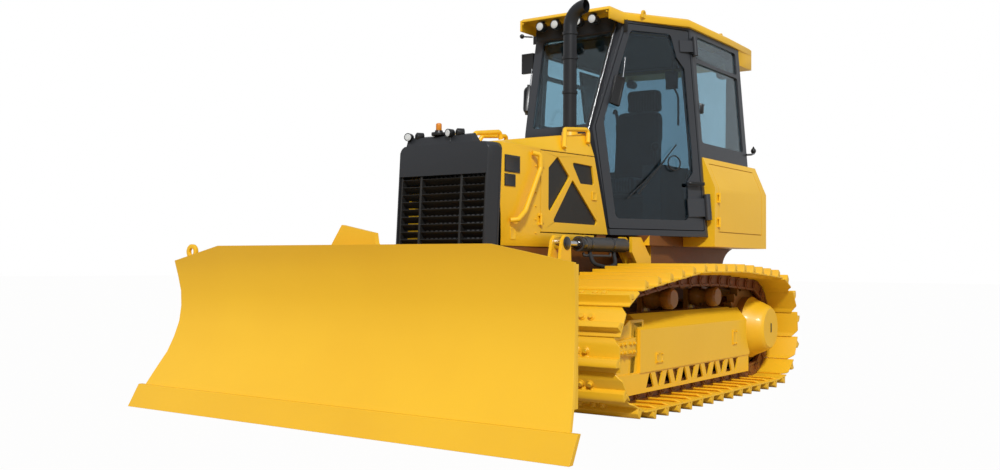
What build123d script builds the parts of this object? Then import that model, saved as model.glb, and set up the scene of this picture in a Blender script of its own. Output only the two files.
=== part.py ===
from build123d import *
from math import atan2, cos, degrees, pi, radians, sin, sqrt, tan
import os

# Crawler bulldozer, millimetres. Front is -Y, the machine's left is +X, +Z is up, z = 0 is the ground.

# ---------------------------------------------------------------- driving dimensions
fit = 0.3            # gap of a piece on its seat
gap = 6.0            # gap of a panel or door in its frame

# tracks
track_centre = 966.0
shoe_width = 650.0
chain_pitch = 171.5
grouser_height = 50.0
shoe_plate = 10.0
link_below = 58.0    # shoe plate to the pin line
link_above = 42.0    # pin line to the rollers' path
strand_in = 58.0     # link strands, from the track's centre line
strand_out = 96.0
corner_cut = 34.0    # cut corners of a shoe
idler_y = -843.0
idler_pitch_r = 300.0
sprocket_y = 1390.0
sprocket_pitch_r = 328.0
sprocket_teeth = 25
carrier_z = 699.0
carrier_pitch_r = 119.0
carrier_ys = (-30.0, 700.0)
roller_count = 7
roller_tread_r = 76.0

# track frames
frame_in = track_centre - 146
frame_out = track_centre + 146
frame_wall = 20.0
frame_skirt_z = 122.0
frame_guard_z = 250.0   # top of the roller guard
frame_side_z = 518.0
frame_top_z = 612.0
frame_front_y = -905.0
frame_nose_y = -560.0
frame_rear_y = 1200.0
frame_cover_y = -600.0  # front end of the outer cover
hub_clear_r = 255.0
hub_face_x = track_centre + 245

# hull, the welded main frame
hull_half = 385.0
hull_plate = 30.0
hull_bottom_z = 400.0
hull_top_z = 1040.0
hull_front_y = -1075.0
hull_rear_y = 1950.0
belly_plate = 16.0
saddle_x = 560.0
saddle_front_y = 635.0
deck_half = 616.0
deck_front_y = 500.0
deck_rear_y = 2120.0

# hood
hood_half = 392.0
exhaust_x = 222.0
exhaust_y = 8.0
exhaust_r = 49.0
exhaust_bend_z = 2650.0
exhaust_bend_r = 135.0
exhaust_foot_z = 1880.0
hood_sheet = 14.0
hood_sill_z = 1139.0
shoulder_front_z = 1690.0
shoulder_rear_z = 1704.0
hood_top_front_z = 1701.0
hood_top_rear_z = 1868.0
hood_top_half = 335.0
hood_front_y = -1096.0
hood_rear_y = 70.0
engine_door_front_y = -636.0

# radiator guard
guard_front_y = -1198.0
guard_half = 392.0
guard_face_half = 358.0
guard_side_y = -1104.0
guard_top_z = 1690.0
guard_bottom_z = 560.0
guard_open_half = 350.0
guard_open_top_z = 1490.0
guard_open_bottom_z = 640.0
cooler_right = -310.0
cooler_left = 235.0
cooler_z = 1757.0
guard_lean = 3.4     # degrees, the face's foot stands forward
louvre_count = 17

# cab
cab_floor_z = 1144.0
roof_top_z = 2842.0
roof_skirt = 62.0
cab_top_z = roof_top_z - roof_skirt
cab_height = cab_top_z - cab_floor_z
cab_lean = 0.0852    # side walls, outward per unit of drop
cab_wall = 52.0
pillar_a_y = 515.0   # at the cab's top
pillar_b_x = 686.0
pillar_b_y = 1049.0
cab_rear_y = 2025.0
door_slope = 0.548   # x per y along a door's plane
screen_lean = 0.363  # windscreen, y per z
kink_z = cab_floor_z + 0.4805 * cab_height
firewall_slope = 0.099
pane = 8.0

# roof
roof_front_y = 282.0
roof_front_half = 402.0
roof_wide_half = 707.0
roof_wide_y = 998.0
roof_side_end_y = 1791.0
roof_rear_y = 2324.0
roof_rear_half = 688.0
roof_box_z = 2651.0    # underside of the rear box
visor_low_z = 2745.0
visor_depth = 212.0
visor_wall = 12.0
lining = 24.0

# rear side boxes
box_out = 880.0
box_front_y = 1082.0
box_rear_y = 2170.0
box_bottom_z = 1070.0
box_shoulder_z = 1530.0
box_top_z = 1765.0
box_door = 16.0

# push frame and blade
pivot_y = 150.0
pivot_z = 600.0
arm_x = 520.0
arm_width = 100.0
nose_y = -1500.0
ball_y = -1760.0
ball_z = 430.0
yoke_beam_y = -1890.0
blade_half = 1590.0
blade_plate = 22.0
blade_top_z = 1025.0
edge_half = blade_half + 52.5
edge_front_y = -2324.0
edge_top_y = -2246.0
edge_top_z = 137.0
edge_plate = 28.0

# cylinders
barrel_start = 84.0  # pin to the closed end of a barrel
lift_bore_r = 51.0
lift_rod_r = 24.0
lift_pin_y = 356.0
lift_pin_z = 1065.0
lift_eye_y = -595.0
lift_eye_z = 1063.0
lift_gland_y = -370.0
angle_bore_r = 45.0
angle_rod_r = 25.0
angle_pin_x = 520.0
angle_pin_y = -1000.0
angle_eye_x = 420.0
angle_eye_y = -1755.0
angle_z = 650.0
tilt_bore_r = 45.0
tilt_rod_r = 25.0
tilt_z = 880.0
tilt_pin_x = -150.0
tilt_eye_x = 470.0
tilt_clear = 84.0    # cylinder's line to the bracket under it

os.makedirs("parts", exist_ok=True)

# ---------------------------------------------------------------- helpers
pin_line_z = grouser_height + shoe_plate + link_below
path_z = pin_line_z + link_above
idler_z = pin_line_z + idler_pitch_r
sprocket_z = pin_line_z + sprocket_pitch_r


def across(y):
    """Plane across the machine at y, drawn in x and z. Extruding it goes forward."""
    return Plane.XZ.offset(-y)


def along(x):
    """Plane along the machine at x, drawn in y and z. Extruding it goes to the left."""
    return Plane.YZ.offset(x)


def level(z):
    """Level plane at z. Extruding it goes up."""
    return Plane.XY.offset(z)


def write(piece, name):
    piece.part.label = name
    export_step(piece.part, f"parts/{name}.step")


def write_mirrored(piece, name):
    with BuildPart() as twin:
        add(mirror(piece.part, about=Plane.YZ, mode=Mode.PRIVATE))
    write(twin, name)


def hinge(plane, sleeve, lug, frame_reach, frame_depth, door_edge, door_reach, door_depth, pin_r=10.0):
    """Two solids of a hinge about the plane's Y axis: a pin in two lugs, and a sleeve with its leaf.

    The plane's X runs away from the door and its Z outward. The depths are how far the faces
    that carry the lugs and the leaf lie inside the axis.
    """
    section = Plane(origin=plane.origin, x_dir=plane.x_dir, z_dir=plane.y_dir)
    with BuildPart() as pin:
        with BuildSketch(section.offset(-sleeve / 2 - lug)):
            Circle(pin_r)
        extrude(amount=sleeve + 2 * lug)
        for start in (-sleeve / 2 - lug, sleeve / 2 + fit):
            with BuildSketch(section.offset(start)):
                Circle(2 * pin_r)
                with BuildLine():
                    Polyline((0, 0), (frame_reach, 0), (frame_reach, frame_depth + 1), (0, frame_depth + 1),
                             close=True)
                make_face()
            extrude(amount=lug - fit)
    with BuildPart() as leaf:
        with BuildSketch(section.offset(-sleeve / 2)):
            Circle(2 * pin_r)
            with BuildLine():
                Polyline((0, 0), (-door_reach, door_depth - 10), (-door_reach, door_depth + 1),
                         (-door_edge, door_depth + 1), (-door_edge, door_depth - 2), (0, door_depth - 2),
                         close=True)
            make_face()
            Circle(pin_r + fit / 3, mode=Mode.SUBTRACT)
        extrude(amount=sleeve)
    return pin.part, leaf.part


# ---------------------------------------------------------------- tracks
with BuildSketch(Plane.YZ) as pin_loop:
    with Locations((idler_y, idler_z)):
        Circle(idler_pitch_r)
    with Locations(*[(y, carrier_z) for y in carrier_ys]):
        Circle(carrier_pitch_r)
    with Locations((sprocket_y, sprocket_z)):
        Circle(sprocket_pitch_r)
    make_hull()
pin_wire = pin_loop.sketch.faces()[0].outer_wire()
shoe_count = round(pin_wire.length / chain_pitch)
pins = [pin_wire.position_at(i / shoe_count) for i in range(shoe_count)]
loop_middle = Vector(0, (idler_y + sprocket_y) / 2, sprocket_z)


def link_planes():
    """One plane for each link: origin between its pins, X across the track, Z outward."""
    planes = []
    for i, pin in enumerate(pins):
        ahead = pins[(i + 1) % shoe_count]
        middle = (pin + ahead) / 2
        outward = (ahead - pin).cross(Vector(1, 0, 0))
        if outward.dot(middle - loop_middle) < 0:
            outward = outward * -1
        planes.append(Plane(origin=middle + Vector(track_centre, 0, 0), x_dir=(1, 0, 0), z_dir=outward))
    return planes


def strand_outline(reach):
    """Closed outline of the link strands, moved out of the pin line by reach."""
    corners = []
    frames = link_planes()
    for i in range(shoe_count):
        before = frames[i - 1].z_dir
        after = frames[i].z_dir
        bisector = (before + after).normalized()
        corner = pins[i] + bisector * (reach / bisector.dot(after))
        corners.append((corner.Y, corner.Z))
    return corners


half_pitch = pin_wire.length / shoe_count / 2
plate_low = link_below
plate_high = link_below + shoe_plate
tip = plate_high + grouser_height
shoe_outline = [
    (-half_pitch + 3, plate_low),
    (half_pitch - 3, plate_low),
    (half_pitch - 3, plate_high),
    (-half_pitch + 54, plate_high),
    (-half_pitch + 42, tip),
    (-half_pitch + 32, tip),
    (-half_pitch + 26, plate_high),
    (-half_pitch + 3, plate_high),
]
with BuildPart() as shoe:
    with BuildSketch(Plane.YZ.offset(-shoe_width / 2)):
        with BuildLine():
            Polyline(*shoe_outline, close=True)
        make_face()
    extrude(amount=shoe_width)
    with BuildSketch(Plane.XY.offset(plate_low)):
        with Locations((shoe_width / 2, half_pitch), (-shoe_width / 2, half_pitch)):
            Rectangle(corner_cut * sqrt(2), corner_cut * sqrt(2), rotation=45)
    extrude(amount=shoe_plate, mode=Mode.SUBTRACT)

with BuildPart() as track_left:
    for side in (-1, 1):
        near = track_centre + side * (strand_in + strand_out) / 2 - (strand_out - strand_in) / 2
        with BuildSketch(along(near)):
            with BuildLine():
                Polyline(*strand_outline(link_below), close=True)
            make_face()
            with BuildLine():
                Polyline(*strand_outline(-link_above), close=True)
            make_face(mode=Mode.SUBTRACT)
        extrude(amount=strand_out - strand_in)
    with Locations(*link_planes()):
        add(shoe.part)
write(track_left, "track_left")
write_mirrored(track_left, "track_right")

# front idlers: a rim between the strands' rails and a hub
idler_tread_r = sqrt(idler_pitch_r**2 - half_pitch**2) - link_above - fit
with BuildPart() as idlers:
    with BuildSketch(Plane.XY.offset(idler_z)) as idler_section:
        with BuildLine():
            Polyline(
                (track_centre - 84, idler_y),
                (track_centre - 84, idler_y + 70),
                (track_centre - 26, idler_y + 90),
                (track_centre - 26, idler_y + idler_tread_r - 50),
                (track_centre - 80, idler_y + idler_tread_r - 30),
                (track_centre - 80, idler_y + idler_tread_r),
                (track_centre - 46, idler_y + idler_tread_r),
                (track_centre - 42, idler_y + idler_tread_r + 22),
                (track_centre + 42, idler_y + idler_tread_r + 22),
                (track_centre + 46, idler_y + idler_tread_r),
                (track_centre + 80, idler_y + idler_tread_r),
                (track_centre + 80, idler_y + idler_tread_r - 30),
                (track_centre + 26, idler_y + idler_tread_r - 50),
                (track_centre + 26, idler_y + 90),
                (track_centre + 84, idler_y + 70),
                (track_centre + 84, idler_y),
                close=True,
            )
        make_face()
    revolve(axis=Axis((0, idler_y, idler_z), (1, 0, 0)))
    mirror(about=Plane.YZ)
write(idlers, "idlers")

# sprockets with their final drives, from the hull out to the hub's face
tooth_root_r = sprocket_pitch_r - 34
tooth_tip_r = sprocket_pitch_r + 8
with BuildPart() as sprockets:
    with BuildSketch(along(track_centre - 32)) as sprocket_face:
        with Locations((sprocket_y, sprocket_z)):
            Circle(tooth_root_r)
            with PolarLocations(0, sprocket_teeth):
                with Locations((tooth_root_r - 8, 0)):
                    Trapezoid(56, tooth_tip_r - tooth_root_r + 8, 64, align=(Align.CENTER, Align.MIN), rotation=-90)
    extrude(amount=64)
    with BuildSketch(Plane.XY.offset(sprocket_z)):
        with BuildLine():
            Polyline(
                (hull_half, sprocket_y),
                (hull_half, sprocket_y + 205),
                (track_centre - 140, sprocket_y + 205),
                (track_centre - 140, sprocket_y + 235),
                (track_centre + 92, sprocket_y + 235),
                (track_centre + 110, sprocket_y + 222),
                (hub_face_x - 22, sprocket_y + 172),
                (hub_face_x, sprocket_y + 150),
                (hub_face_x, sprocket_y),
                close=True,
            )
        make_face()
    revolve(axis=Axis((0, sprocket_y, sprocket_z), (1, 0, 0)))
    mirror(about=Plane.YZ)
write(sprockets, "sprockets")

# bottom rollers and carrier rollers
roller_z = path_z + fit + roller_tread_r
roller_first_y = idler_y + 330
roller_last_y = sprocket_y - 380
roller_step = (roller_last_y - roller_first_y) / (roller_count - 1)
roller_ys = [roller_first_y + i * roller_step for i in range(roller_count)]
carrier_tread_r = carrier_pitch_r - link_above - 6


def roller_section(y, tread_r, flange, half_width):
    return [
        (track_centre - half_width, y),
        (track_centre - half_width, y + tread_r + flange),
        (track_centre - half_width + 14, y + tread_r + flange),
        (track_centre - half_width + 14, y + tread_r),
        (track_centre - 34, y + tread_r),
        (track_centre - 34, y + tread_r - 16),
        (track_centre + 34, y + tread_r - 16),
        (track_centre + 34, y + tread_r),
        (track_centre + half_width - 14, y + tread_r),
        (track_centre + half_width - 14, y + tread_r + flange),
        (track_centre + half_width, y + tread_r + flange),
        (track_centre + half_width, y),
    ]


with BuildPart() as rollers:
    for y in roller_ys:
        with BuildSketch(Plane.XY.offset(roller_z)):
            with BuildLine():
                Polyline(*roller_section(y, roller_tread_r, 18, 112), close=True)
            make_face()
        revolve(axis=Axis((0, y, roller_z), (1, 0, 0)))
        with BuildSketch(along(frame_in + frame_wall)):
            with Locations((y, roller_z)):
                Circle(28)
        extrude(amount=frame_out - frame_in - 2 * frame_wall)
    for y in carrier_ys:
        with BuildSketch(Plane.XY.offset(carrier_z)):
            with BuildLine():
                Polyline(*roller_section(y, carrier_tread_r, -10, 104), close=True)
            make_face()
        revolve(axis=Axis((0, y, carrier_z), (1, 0, 0)))
    mirror(about=Plane.YZ)
write(rollers, "rollers")

# track frames: an inverted trough over the rollers, side plates past the idler, and roller guards
guard_hole_step = roller_step / 2
guard_inset = 8.0
with BuildPart() as track_frames:
    with BuildSketch(across(frame_rear_y)):
        with BuildLine():
            Polyline(
                (frame_in, frame_skirt_z),
                (frame_out, frame_skirt_z),
                (frame_out, frame_side_z),
                (frame_out - 102, frame_top_z),
                (frame_in + 80, frame_top_z),
                (frame_in, frame_side_z),
                close=True,
            )
        make_face()
    extrude(amount=frame_rear_y - frame_front_y)
    # the tunnel of the bottom rollers
    with BuildSketch(across(frame_rear_y)):
        with Locations(((frame_in + frame_out) / 2, 0)):
            Rectangle(frame_out - frame_in - 2 * frame_wall, 2 * (roller_z + 110))
    extrude(amount=frame_rear_y - frame_front_y, mode=Mode.SUBTRACT)
    # the idler's bay, open above and in front
    with BuildSketch(level(0)):
        with Locations(((frame_in + frame_out) / 2, frame_front_y)):
            Rectangle(frame_out - frame_in - 2 * frame_wall, 2 * (frame_nose_y - frame_front_y))
    extrude(amount=frame_top_z, mode=Mode.SUBTRACT)
    # the sprocket's bay
    with BuildSketch(level(0)):
        with Locations((track_centre, frame_rear_y)):
            Rectangle(104, 2 * 165)
    extrude(amount=frame_top_z, mode=Mode.SUBTRACT)
    # side plates slope down to the front
    with BuildSketch(along(frame_in)):
        with BuildLine():
            Polyline(
                (frame_front_y, frame_side_z - 30),
                (frame_front_y + 220, frame_top_z),
                (frame_front_y, frame_top_z),
                close=True,
            )
        make_face()
        with BuildLine():
            Polyline(
                (frame_front_y, frame_skirt_z),
                (frame_front_y + 150, frame_skirt_z),
                (frame_front_y, frame_skirt_z + 110),
                close=True,
            )
        make_face()
    extrude(amount=frame_out - frame_in, mode=Mode.SUBTRACT)
    # the side plates end in an arc ahead of the hub
    with BuildSketch(along(frame_in)):
        with Locations((sprocket_y, sprocket_z)):
            Circle(hub_clear_r)
    extrude(amount=frame_out - frame_in, mode=Mode.SUBTRACT)
    # roller guards: set in a little, and open between slanting gussets
    for x in (frame_in, frame_out - guard_inset):
        with BuildSketch(along(x)):
            with Locations(((frame_front_y + frame_rear_y) / 2, frame_skirt_z)):
                Rectangle(frame_rear_y - frame_front_y, frame_guard_z - frame_skirt_z,
                          align=(Align.CENTER, Align.MIN))
        extrude(amount=guard_inset, mode=Mode.SUBTRACT)
    with BuildSketch(along(frame_in)):
        for i in range(2 * roller_count - 2):
            up = i % 2 == 0
            with Locations((roller_first_y + (i + 0.5) * guard_hole_step, frame_skirt_z + 26 + 92 * (not up))):
                Trapezoid(guard_hole_step - 16, 92, 64, align=(Align.CENTER, Align.MIN), rotation=0 if up else 180)
    extrude(amount=frame_out - frame_in, mode=Mode.SUBTRACT)
    # the outer cover stops short of the idler, and a narrower yoke carries on
    with BuildSketch(along(frame_out - frame_wall)):
        with Locations((frame_front_y, frame_guard_z)):
            Rectangle(frame_cover_y - frame_front_y, frame_top_z, align=Align.MIN)
    extrude(amount=frame_wall, mode=Mode.SUBTRACT)
    with BuildSketch(along(frame_out - frame_wall - 24)):
        with BuildLine():
            Polyline(
                (frame_front_y, idler_z - 100),
                (frame_front_y, idler_z + 70),
                (frame_front_y + 200, frame_top_z - 30),
                (frame_cover_y + 60, frame_top_z - 30),
                (frame_cover_y + 60, roller_z + 114),
                (frame_cover_y - 30, roller_z + 114),
                (frame_cover_y - 60, frame_guard_z - 30),
                (frame_front_y + 60, frame_guard_z - 30),
                close=True,
            )
        make_face()
    extrude(amount=24)
    # idler blocks and shaft
    for x in (frame_in + frame_wall, frame_out - frame_wall - 41):
        with BuildSketch(along(x)):
            with Locations((idler_y + 60, idler_z)):
                Rectangle(260, 120)
        extrude(amount=41)
    # posts of the carrier rollers
    for y in carrier_ys:
        with BuildSketch(level(frame_side_z - 30)):
            with Locations((frame_in + 20, y)):
                Rectangle(36, 120)
        extrude(amount=carrier_z + 55 - frame_side_z + 30)
        with BuildSketch(along(frame_in + 10)):
            with Locations((y, carrier_z)):
                Circle(34)
        extrude(amount=track_centre - 104 - fit - frame_in - 10)
    mirror(about=Plane.YZ)
write(track_frames, "track_frames")

# ---------------------------------------------------------------- hull
beam_front_y = pivot_y
beam_rear_y = 900.0
with BuildPart() as main_frame:
    # two side plates on a belly plate, closed in front by the guard's foot and behind by the case
    with BuildSketch(along(hull_half - hull_plate)):
        with BuildLine():
            Polyline(
                (hull_front_y, hull_bottom_z + 120),
                (hull_front_y + 140, hull_bottom_z),
                (hull_rear_y - 240, hull_bottom_z),
                (hull_rear_y, hull_bottom_z + 200),
                (hull_rear_y, hull_top_z - 60),
                (hull_rear_y - 60, hull_top_z),
                (hull_front_y, hull_top_z),
                close=True,
            )
        make_face()
    extrude(amount=hull_plate)
    mirror(about=Plane.YZ)
    with BuildSketch(level(hull_bottom_z)):
        with Locations((0, (hull_front_y + hull_rear_y) / 2 - 50)):
            Rectangle(2 * (hull_half - hull_plate), hull_rear_y - hull_front_y - 380)
    extrude(amount=belly_plate)
    # transmission case and rear plate
    with BuildSketch(across(hull_rear_y)):
        with Locations((0, (hull_bottom_z + 200 + hull_top_z - 60) / 2)):
            Rectangle(2 * (hull_half - hull_plate), hull_top_z - hull_bottom_z - 260)
    extrude(amount=820)
    # beams out to the track frames
    for y in (beam_front_y, beam_rear_y):
        with BuildSketch(along(-frame_in)):
            with Locations((y, 400)):
                Rectangle(190, 190)
        extrude(amount=2 * frame_in)
    # pivot lugs of the push frame, on the front beam
    for x in (arm_x - arm_width / 2 - 34, arm_x + arm_width / 2 + 6):
        with BuildSketch(along(x)):
            with BuildLine():
                Polyline(
                    (pivot_y - 95, 400),
                    (pivot_y + 95, 400),
                    (pivot_y + 70, pivot_z + 40),
                    (pivot_y + 20, pivot_z + 72),
                    (pivot_y - 20, pivot_z + 72),
                    (pivot_y - 70, pivot_z + 40),
                    close=True,
                )
            make_face()
        extrude(amount=28)
        mirror(about=Plane.YZ)
    with BuildSketch(along(arm_x - arm_width / 2 - 34)):
        with Locations((pivot_y, pivot_z)):
            Circle(32)
    extrude(amount=arm_width + 68)
    mirror(about=Plane.YZ)
    # brackets of the lift cylinders, standing on the deck arms
    for x, back in ((arm_x - 58, 30), (arm_x + 34, 87)):
        with BuildSketch(along(x)):
            with BuildLine():
                Polyline(
                    (lift_pin_y - 55, lift_pin_z + 62),
                    (lift_pin_y + back, lift_pin_z + 62),
                    (lift_pin_y + 246, lift_pin_z - 90),
                    (lift_pin_y + 246, lift_pin_z - 130),
                    (lift_pin_y + 20, lift_pin_z - 130),
                    (lift_pin_y - 55, lift_pin_z - 50),
                    close=True,
                )
            make_face()
        extrude(amount=24)
        mirror(about=Plane.YZ)
    with BuildSketch(level(lift_pin_z - 130)):
        with Locations((0, lift_pin_y + 150)):
            Rectangle(2 * (arm_x + 58), 180)
    extrude(amount=40)
    with BuildSketch(along(arm_x - 54)):
        with Locations((lift_pin_y, lift_pin_z)):
            Circle(22)
    extrude(amount=112)
    mirror(about=Plane.YZ)
    # deck under the cab, its saddles with a flared rear end, and two cab mounts in front
    with BuildSketch(across(deck_rear_y)):
        with BuildLine():
            Polyline((-deck_half, box_bottom_z), (deck_half, box_bottom_z), (deck_half, cab_floor_z),
                     (-deck_half, cab_floor_z), close=True)
        make_face()
    extrude(amount=deck_rear_y - deck_front_y)
    with BuildSketch(along(saddle_x - 20)):
        with BuildLine():
            Polyline((saddle_front_y, box_bottom_z), (saddle_front_y, 930), (1990, 930))
            Spline((1990, 930), (2040, 1000), (2210, box_bottom_z), tangents=((0.3, 1), (1, 0.2)))
            Line((2210, box_bottom_z), (saddle_front_y, box_bottom_z))
        make_face()
    extrude(amount=20)
    mirror(about=Plane.YZ)
    for y in (saddle_front_y + 20, 1900):
        with BuildSketch(across(y)):
            with BuildLine():
                Polyline((-saddle_x, 930), (saddle_x, 930), (saddle_x, box_bottom_z), (-saddle_x, box_bottom_z),
                         close=True)
            make_face()
        extrude(amount=20)
    with BuildSketch(level(hull_top_z)):
        with Locations((hull_half - 45, 190), (45 - hull_half, 190)):
            Rectangle(90, 130)
    extrude(amount=cab_floor_z - hull_top_z)
write(main_frame, "main_frame")

with BuildPart() as engine:
    with BuildSketch(level(hull_bottom_z + belly_plate)):
        with Locations((0, -330)):
            Rectangle(460, 760)
    extrude(amount=970 - belly_plate)
write(engine, "engine")

with BuildPart() as radiator:
    with BuildSketch(level(hull_bottom_z + belly_plate)):
        with Locations((0, -990)):
            Rectangle(620, 90)
    extrude(amount=1560 - hull_bottom_z - belly_plate)
    with BuildSketch(level(hull_bottom_z + 160)):
        with Locations((0, -990)):
            Rectangle(2 * (hull_half - hull_plate), 90)
    extrude(amount=60)
write(radiator, "radiator")

# drawbar at the rear
drawbar_bore_r = 26.0
drawbar_plate = 50.0
drawbar_z = 520.0
drawbar_y = hull_rear_y + 150
with BuildPart() as drawbar:
    with BuildSketch(along(-90)):
        with Locations((hull_rear_y, 700)):
            Rectangle(40, 440, align=(Align.MIN, Align.CENTER))
    extrude(amount=180)
    for z in (drawbar_z, drawbar_z + 130):
        with BuildSketch(level(z)):
            with Locations((0, hull_rear_y + 20)):
                Rectangle(150, drawbar_y - hull_rear_y - 20, align=(Align.CENTER, Align.MIN))
            with Locations((0, drawbar_y)):
                Circle(75)
                Circle(drawbar_bore_r, mode=Mode.SUBTRACT)
        extrude(amount=drawbar_plate if z == drawbar_z else 30)
write(drawbar, "drawbar")

# ---------------------------------------------------------------- radiator guard and grille
lean = tan(radians(guard_lean))


def face_y(z):
    """The guard's front face at a height."""
    return guard_front_y - (guard_open_top_z - z) * lean


with BuildPart() as front_guard:
    with BuildSketch(level(guard_bottom_z)):
        with BuildLine():
            Polyline(
                (-guard_face_half, face_y(guard_bottom_z)),
                (guard_face_half, face_y(guard_bottom_z)),
                (guard_half, guard_side_y - 40),
                (guard_half, guard_side_y + 20),
                (-guard_half, guard_side_y + 20),
                (-guard_half, guard_side_y - 40),
                close=True,
            )
        make_face()
    with BuildSketch(level(guard_top_z)):
        with BuildLine():
            Polyline(
                (-guard_face_half, face_y(guard_top_z)),
                (guard_face_half, face_y(guard_top_z)),
                (guard_half, guard_side_y),
                (guard_half, guard_side_y + 20),
                (-guard_half, guard_side_y + 20),
                (-guard_half, guard_side_y),
                close=True,
            )
        make_face()
    loft(ruled=True)
    with BuildSketch(across(0)):
        with Locations((0, (guard_open_top_z + guard_open_bottom_z) / 2)):
            Rectangle(2 * guard_open_half, guard_open_top_z - guard_open_bottom_z)
    extrude(amount=2000, mode=Mode.SUBTRACT)
    top_corners = front_guard.edges().filter_by(Axis.Y, tolerance=12).group_by(Axis.Z)[-1]
    fillet(top_corners, radius=46)
write(front_guard, "front_guard")

louvre_step = (guard_open_top_z - guard_open_bottom_z - 20) / louvre_count
with BuildPart() as grille:
    with Locations(*[(0, face_y(guard_open_bottom_z + 10 + i * louvre_step) + 40,
                      guard_open_bottom_z + 10 + (i + 0.4) * louvre_step) for i in range(louvre_count)]):
        Box(2 * guard_open_half - 2, 56, 5, rotation=(-42, 0, 0))
    for x in (-178, 150):
        with BuildSketch(along(x - 8)):
            with BuildLine():
                Polyline(
                    (face_y(guard_open_bottom_z) + 12, guard_open_bottom_z),
                    (face_y(guard_open_top_z) + 12, guard_open_top_z),
                    (face_y(guard_open_top_z) + 66, guard_open_top_z),
                    (face_y(guard_open_bottom_z) + 66, guard_open_bottom_z),
                    close=True,
                )
            make_face()
        extrude(amount=16)
    for x in (-guard_open_half, guard_open_half - 16):
        with BuildSketch(along(x)):
            with BuildLine():
                Polyline(
                    (face_y(guard_open_bottom_z) + 12, guard_open_bottom_z),
                    (face_y(guard_open_top_z) + 12, guard_open_top_z),
                    (face_y(guard_open_top_z) + 66, guard_open_top_z),
                    (face_y(guard_open_bottom_z) + 66, guard_open_bottom_z),
                    close=True,
                )
            make_face()
        extrude(amount=16)
write(grille, "grille")

# ---------------------------------------------------------------- hood
def hood_profile(half, top_half, shoulder_z, top_z, foot_z):
    return [
        (-half, foot_z),
        (-half, shoulder_z),
        (-top_half, top_z),
        (top_half, top_z),
        (half, shoulder_z),
        (half, foot_z),
    ]


panel_hinge_out = 12.0
panel_hinge_ahead = 10.0
panel_pin_r = 5.0


def panel_hinge(face_x, edge_y, z, frame_depth):
    """Hinge of a flat side door at its front edge."""
    axis = (face_x + panel_hinge_out, edge_y - panel_hinge_ahead, z)
    plane = Plane(origin=axis, x_dir=(0, -1, 0), z_dir=(1, 0, 0))
    return hinge(plane, 44, 16, 22, frame_depth, panel_hinge_ahead + 2, 40, panel_hinge_out, panel_pin_r)


engine_hinges = [panel_hinge(hood_half, engine_door_front_y, z, panel_hinge_out) for z in (1220, 1590)]
hood_foot_z = hull_top_z
with BuildPart() as hood:
    with BuildSketch(across(guard_side_y + 20)):
        with BuildLine():
            Polyline(*hood_profile(hood_half, hood_top_half, guard_top_z, hood_top_front_z, hood_foot_z), close=True)
        make_face()
    with BuildSketch(across(hood_rear_y)):
        with BuildLine():
            Polyline(*hood_profile(hood_half, hood_top_half, shoulder_rear_z, hood_top_rear_z, hood_foot_z), close=True)
        make_face()
    loft(ruled=True)
    with BuildSketch(across(guard_side_y + 20)) as hood_void_front:
        with BuildLine():
            Polyline(*hood_profile(hood_half - hood_sheet, hood_top_half - hood_sheet, guard_top_z - hood_sheet,
                                   hood_top_front_z - hood_sheet, hood_foot_z), close=True)
        make_face()
    with BuildSketch(across(hood_rear_y)) as hood_void_rear:
        with BuildLine():
            Polyline(*hood_profile(hood_half - hood_sheet, hood_top_half - hood_sheet, shoulder_rear_z - hood_sheet,
                                   hood_top_rear_z - hood_sheet, hood_foot_z), close=True)
        make_face()
    loft(ruled=True, mode=Mode.SUBTRACT)
    # opening of each engine door
    with BuildSketch(along(-hood_half)):
        with BuildLine():
            Polyline(
                (engine_door_front_y - gap, hood_sill_z - gap),
                (hood_rear_y + 1, hood_sill_z - gap),
                (hood_rear_y + 1, shoulder_rear_z),
                (engine_door_front_y - gap, shoulder_rear_z - 18),
                close=True,
            )
        make_face()
    extrude(amount=2 * hood_half, mode=Mode.SUBTRACT)
    # rear arch
    with BuildSketch(across(hood_rear_y)):
        with BuildLine():
            Polyline(*hood_profile(hood_half - 60, hood_top_half, shoulder_rear_z,
                                   hood_top_rear_z, hood_foot_z), close=True)
        make_face()
        with BuildLine():
            Polyline(*hood_profile(hood_half - 100, hood_top_half - 60, shoulder_rear_z - 60,
                                   hood_top_rear_z - 60, hood_foot_z), close=True)
        make_face(mode=Mode.SUBTRACT)
    extrude(amount=40)
    for pin, leaf in engine_hinges:
        add(pin)
        add(mirror(pin, about=Plane.YZ, mode=Mode.PRIVATE))
    # collar that the exhaust stands on
    with BuildSketch(level(exhaust_foot_z - 60)):
        with Locations((exhaust_x, exhaust_y)):
            Circle(exhaust_r + 10)
    extrude(amount=60)
write(hood, "hood")

# engine doors: flat panels hinged at their front edge
engine_door_outline = [
    (engine_door_front_y, hood_sill_z),
    (270.0, hood_sill_z + 6),
    (72.0, shoulder_rear_z - gap),
    (engine_door_front_y, shoulder_rear_z - 24),
]
mesh_windows = (
    [(-540, 1292), (-540, 1572), (-425, 1658), (-266, 1528), (-514, 1278)],
    [(-240, 1634), (42, 1629), (74, 1494), (-122, 1493)],
    [(-490, 1208), (-228, 1512), (118, 1232), (96, 1208)],
)


def rounded(corners, radius):
    """A flat shape with rounded corners."""
    with BuildSketch(mode=Mode.PRIVATE) as shape:
        with BuildLine():
            Polyline(*corners, close=True)
        make_face()
        fillet(shape.vertices(), radius)
    return shape.sketch


with BuildPart() as engine_door_left:
    with BuildSketch(along(hood_half - hood_sheet)):
        with BuildLine():
            Polyline(*engine_door_outline, close=True)
        make_face()
        for corners in mesh_windows:
            add(rounded(corners, 14), mode=Mode.SUBTRACT)
    extrude(amount=hood_sheet)
    for pin, leaf in engine_hinges:
        add(leaf)
write(engine_door_left, "engine_door_left")
write_mirrored(engine_door_left, "engine_door_right")

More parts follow.
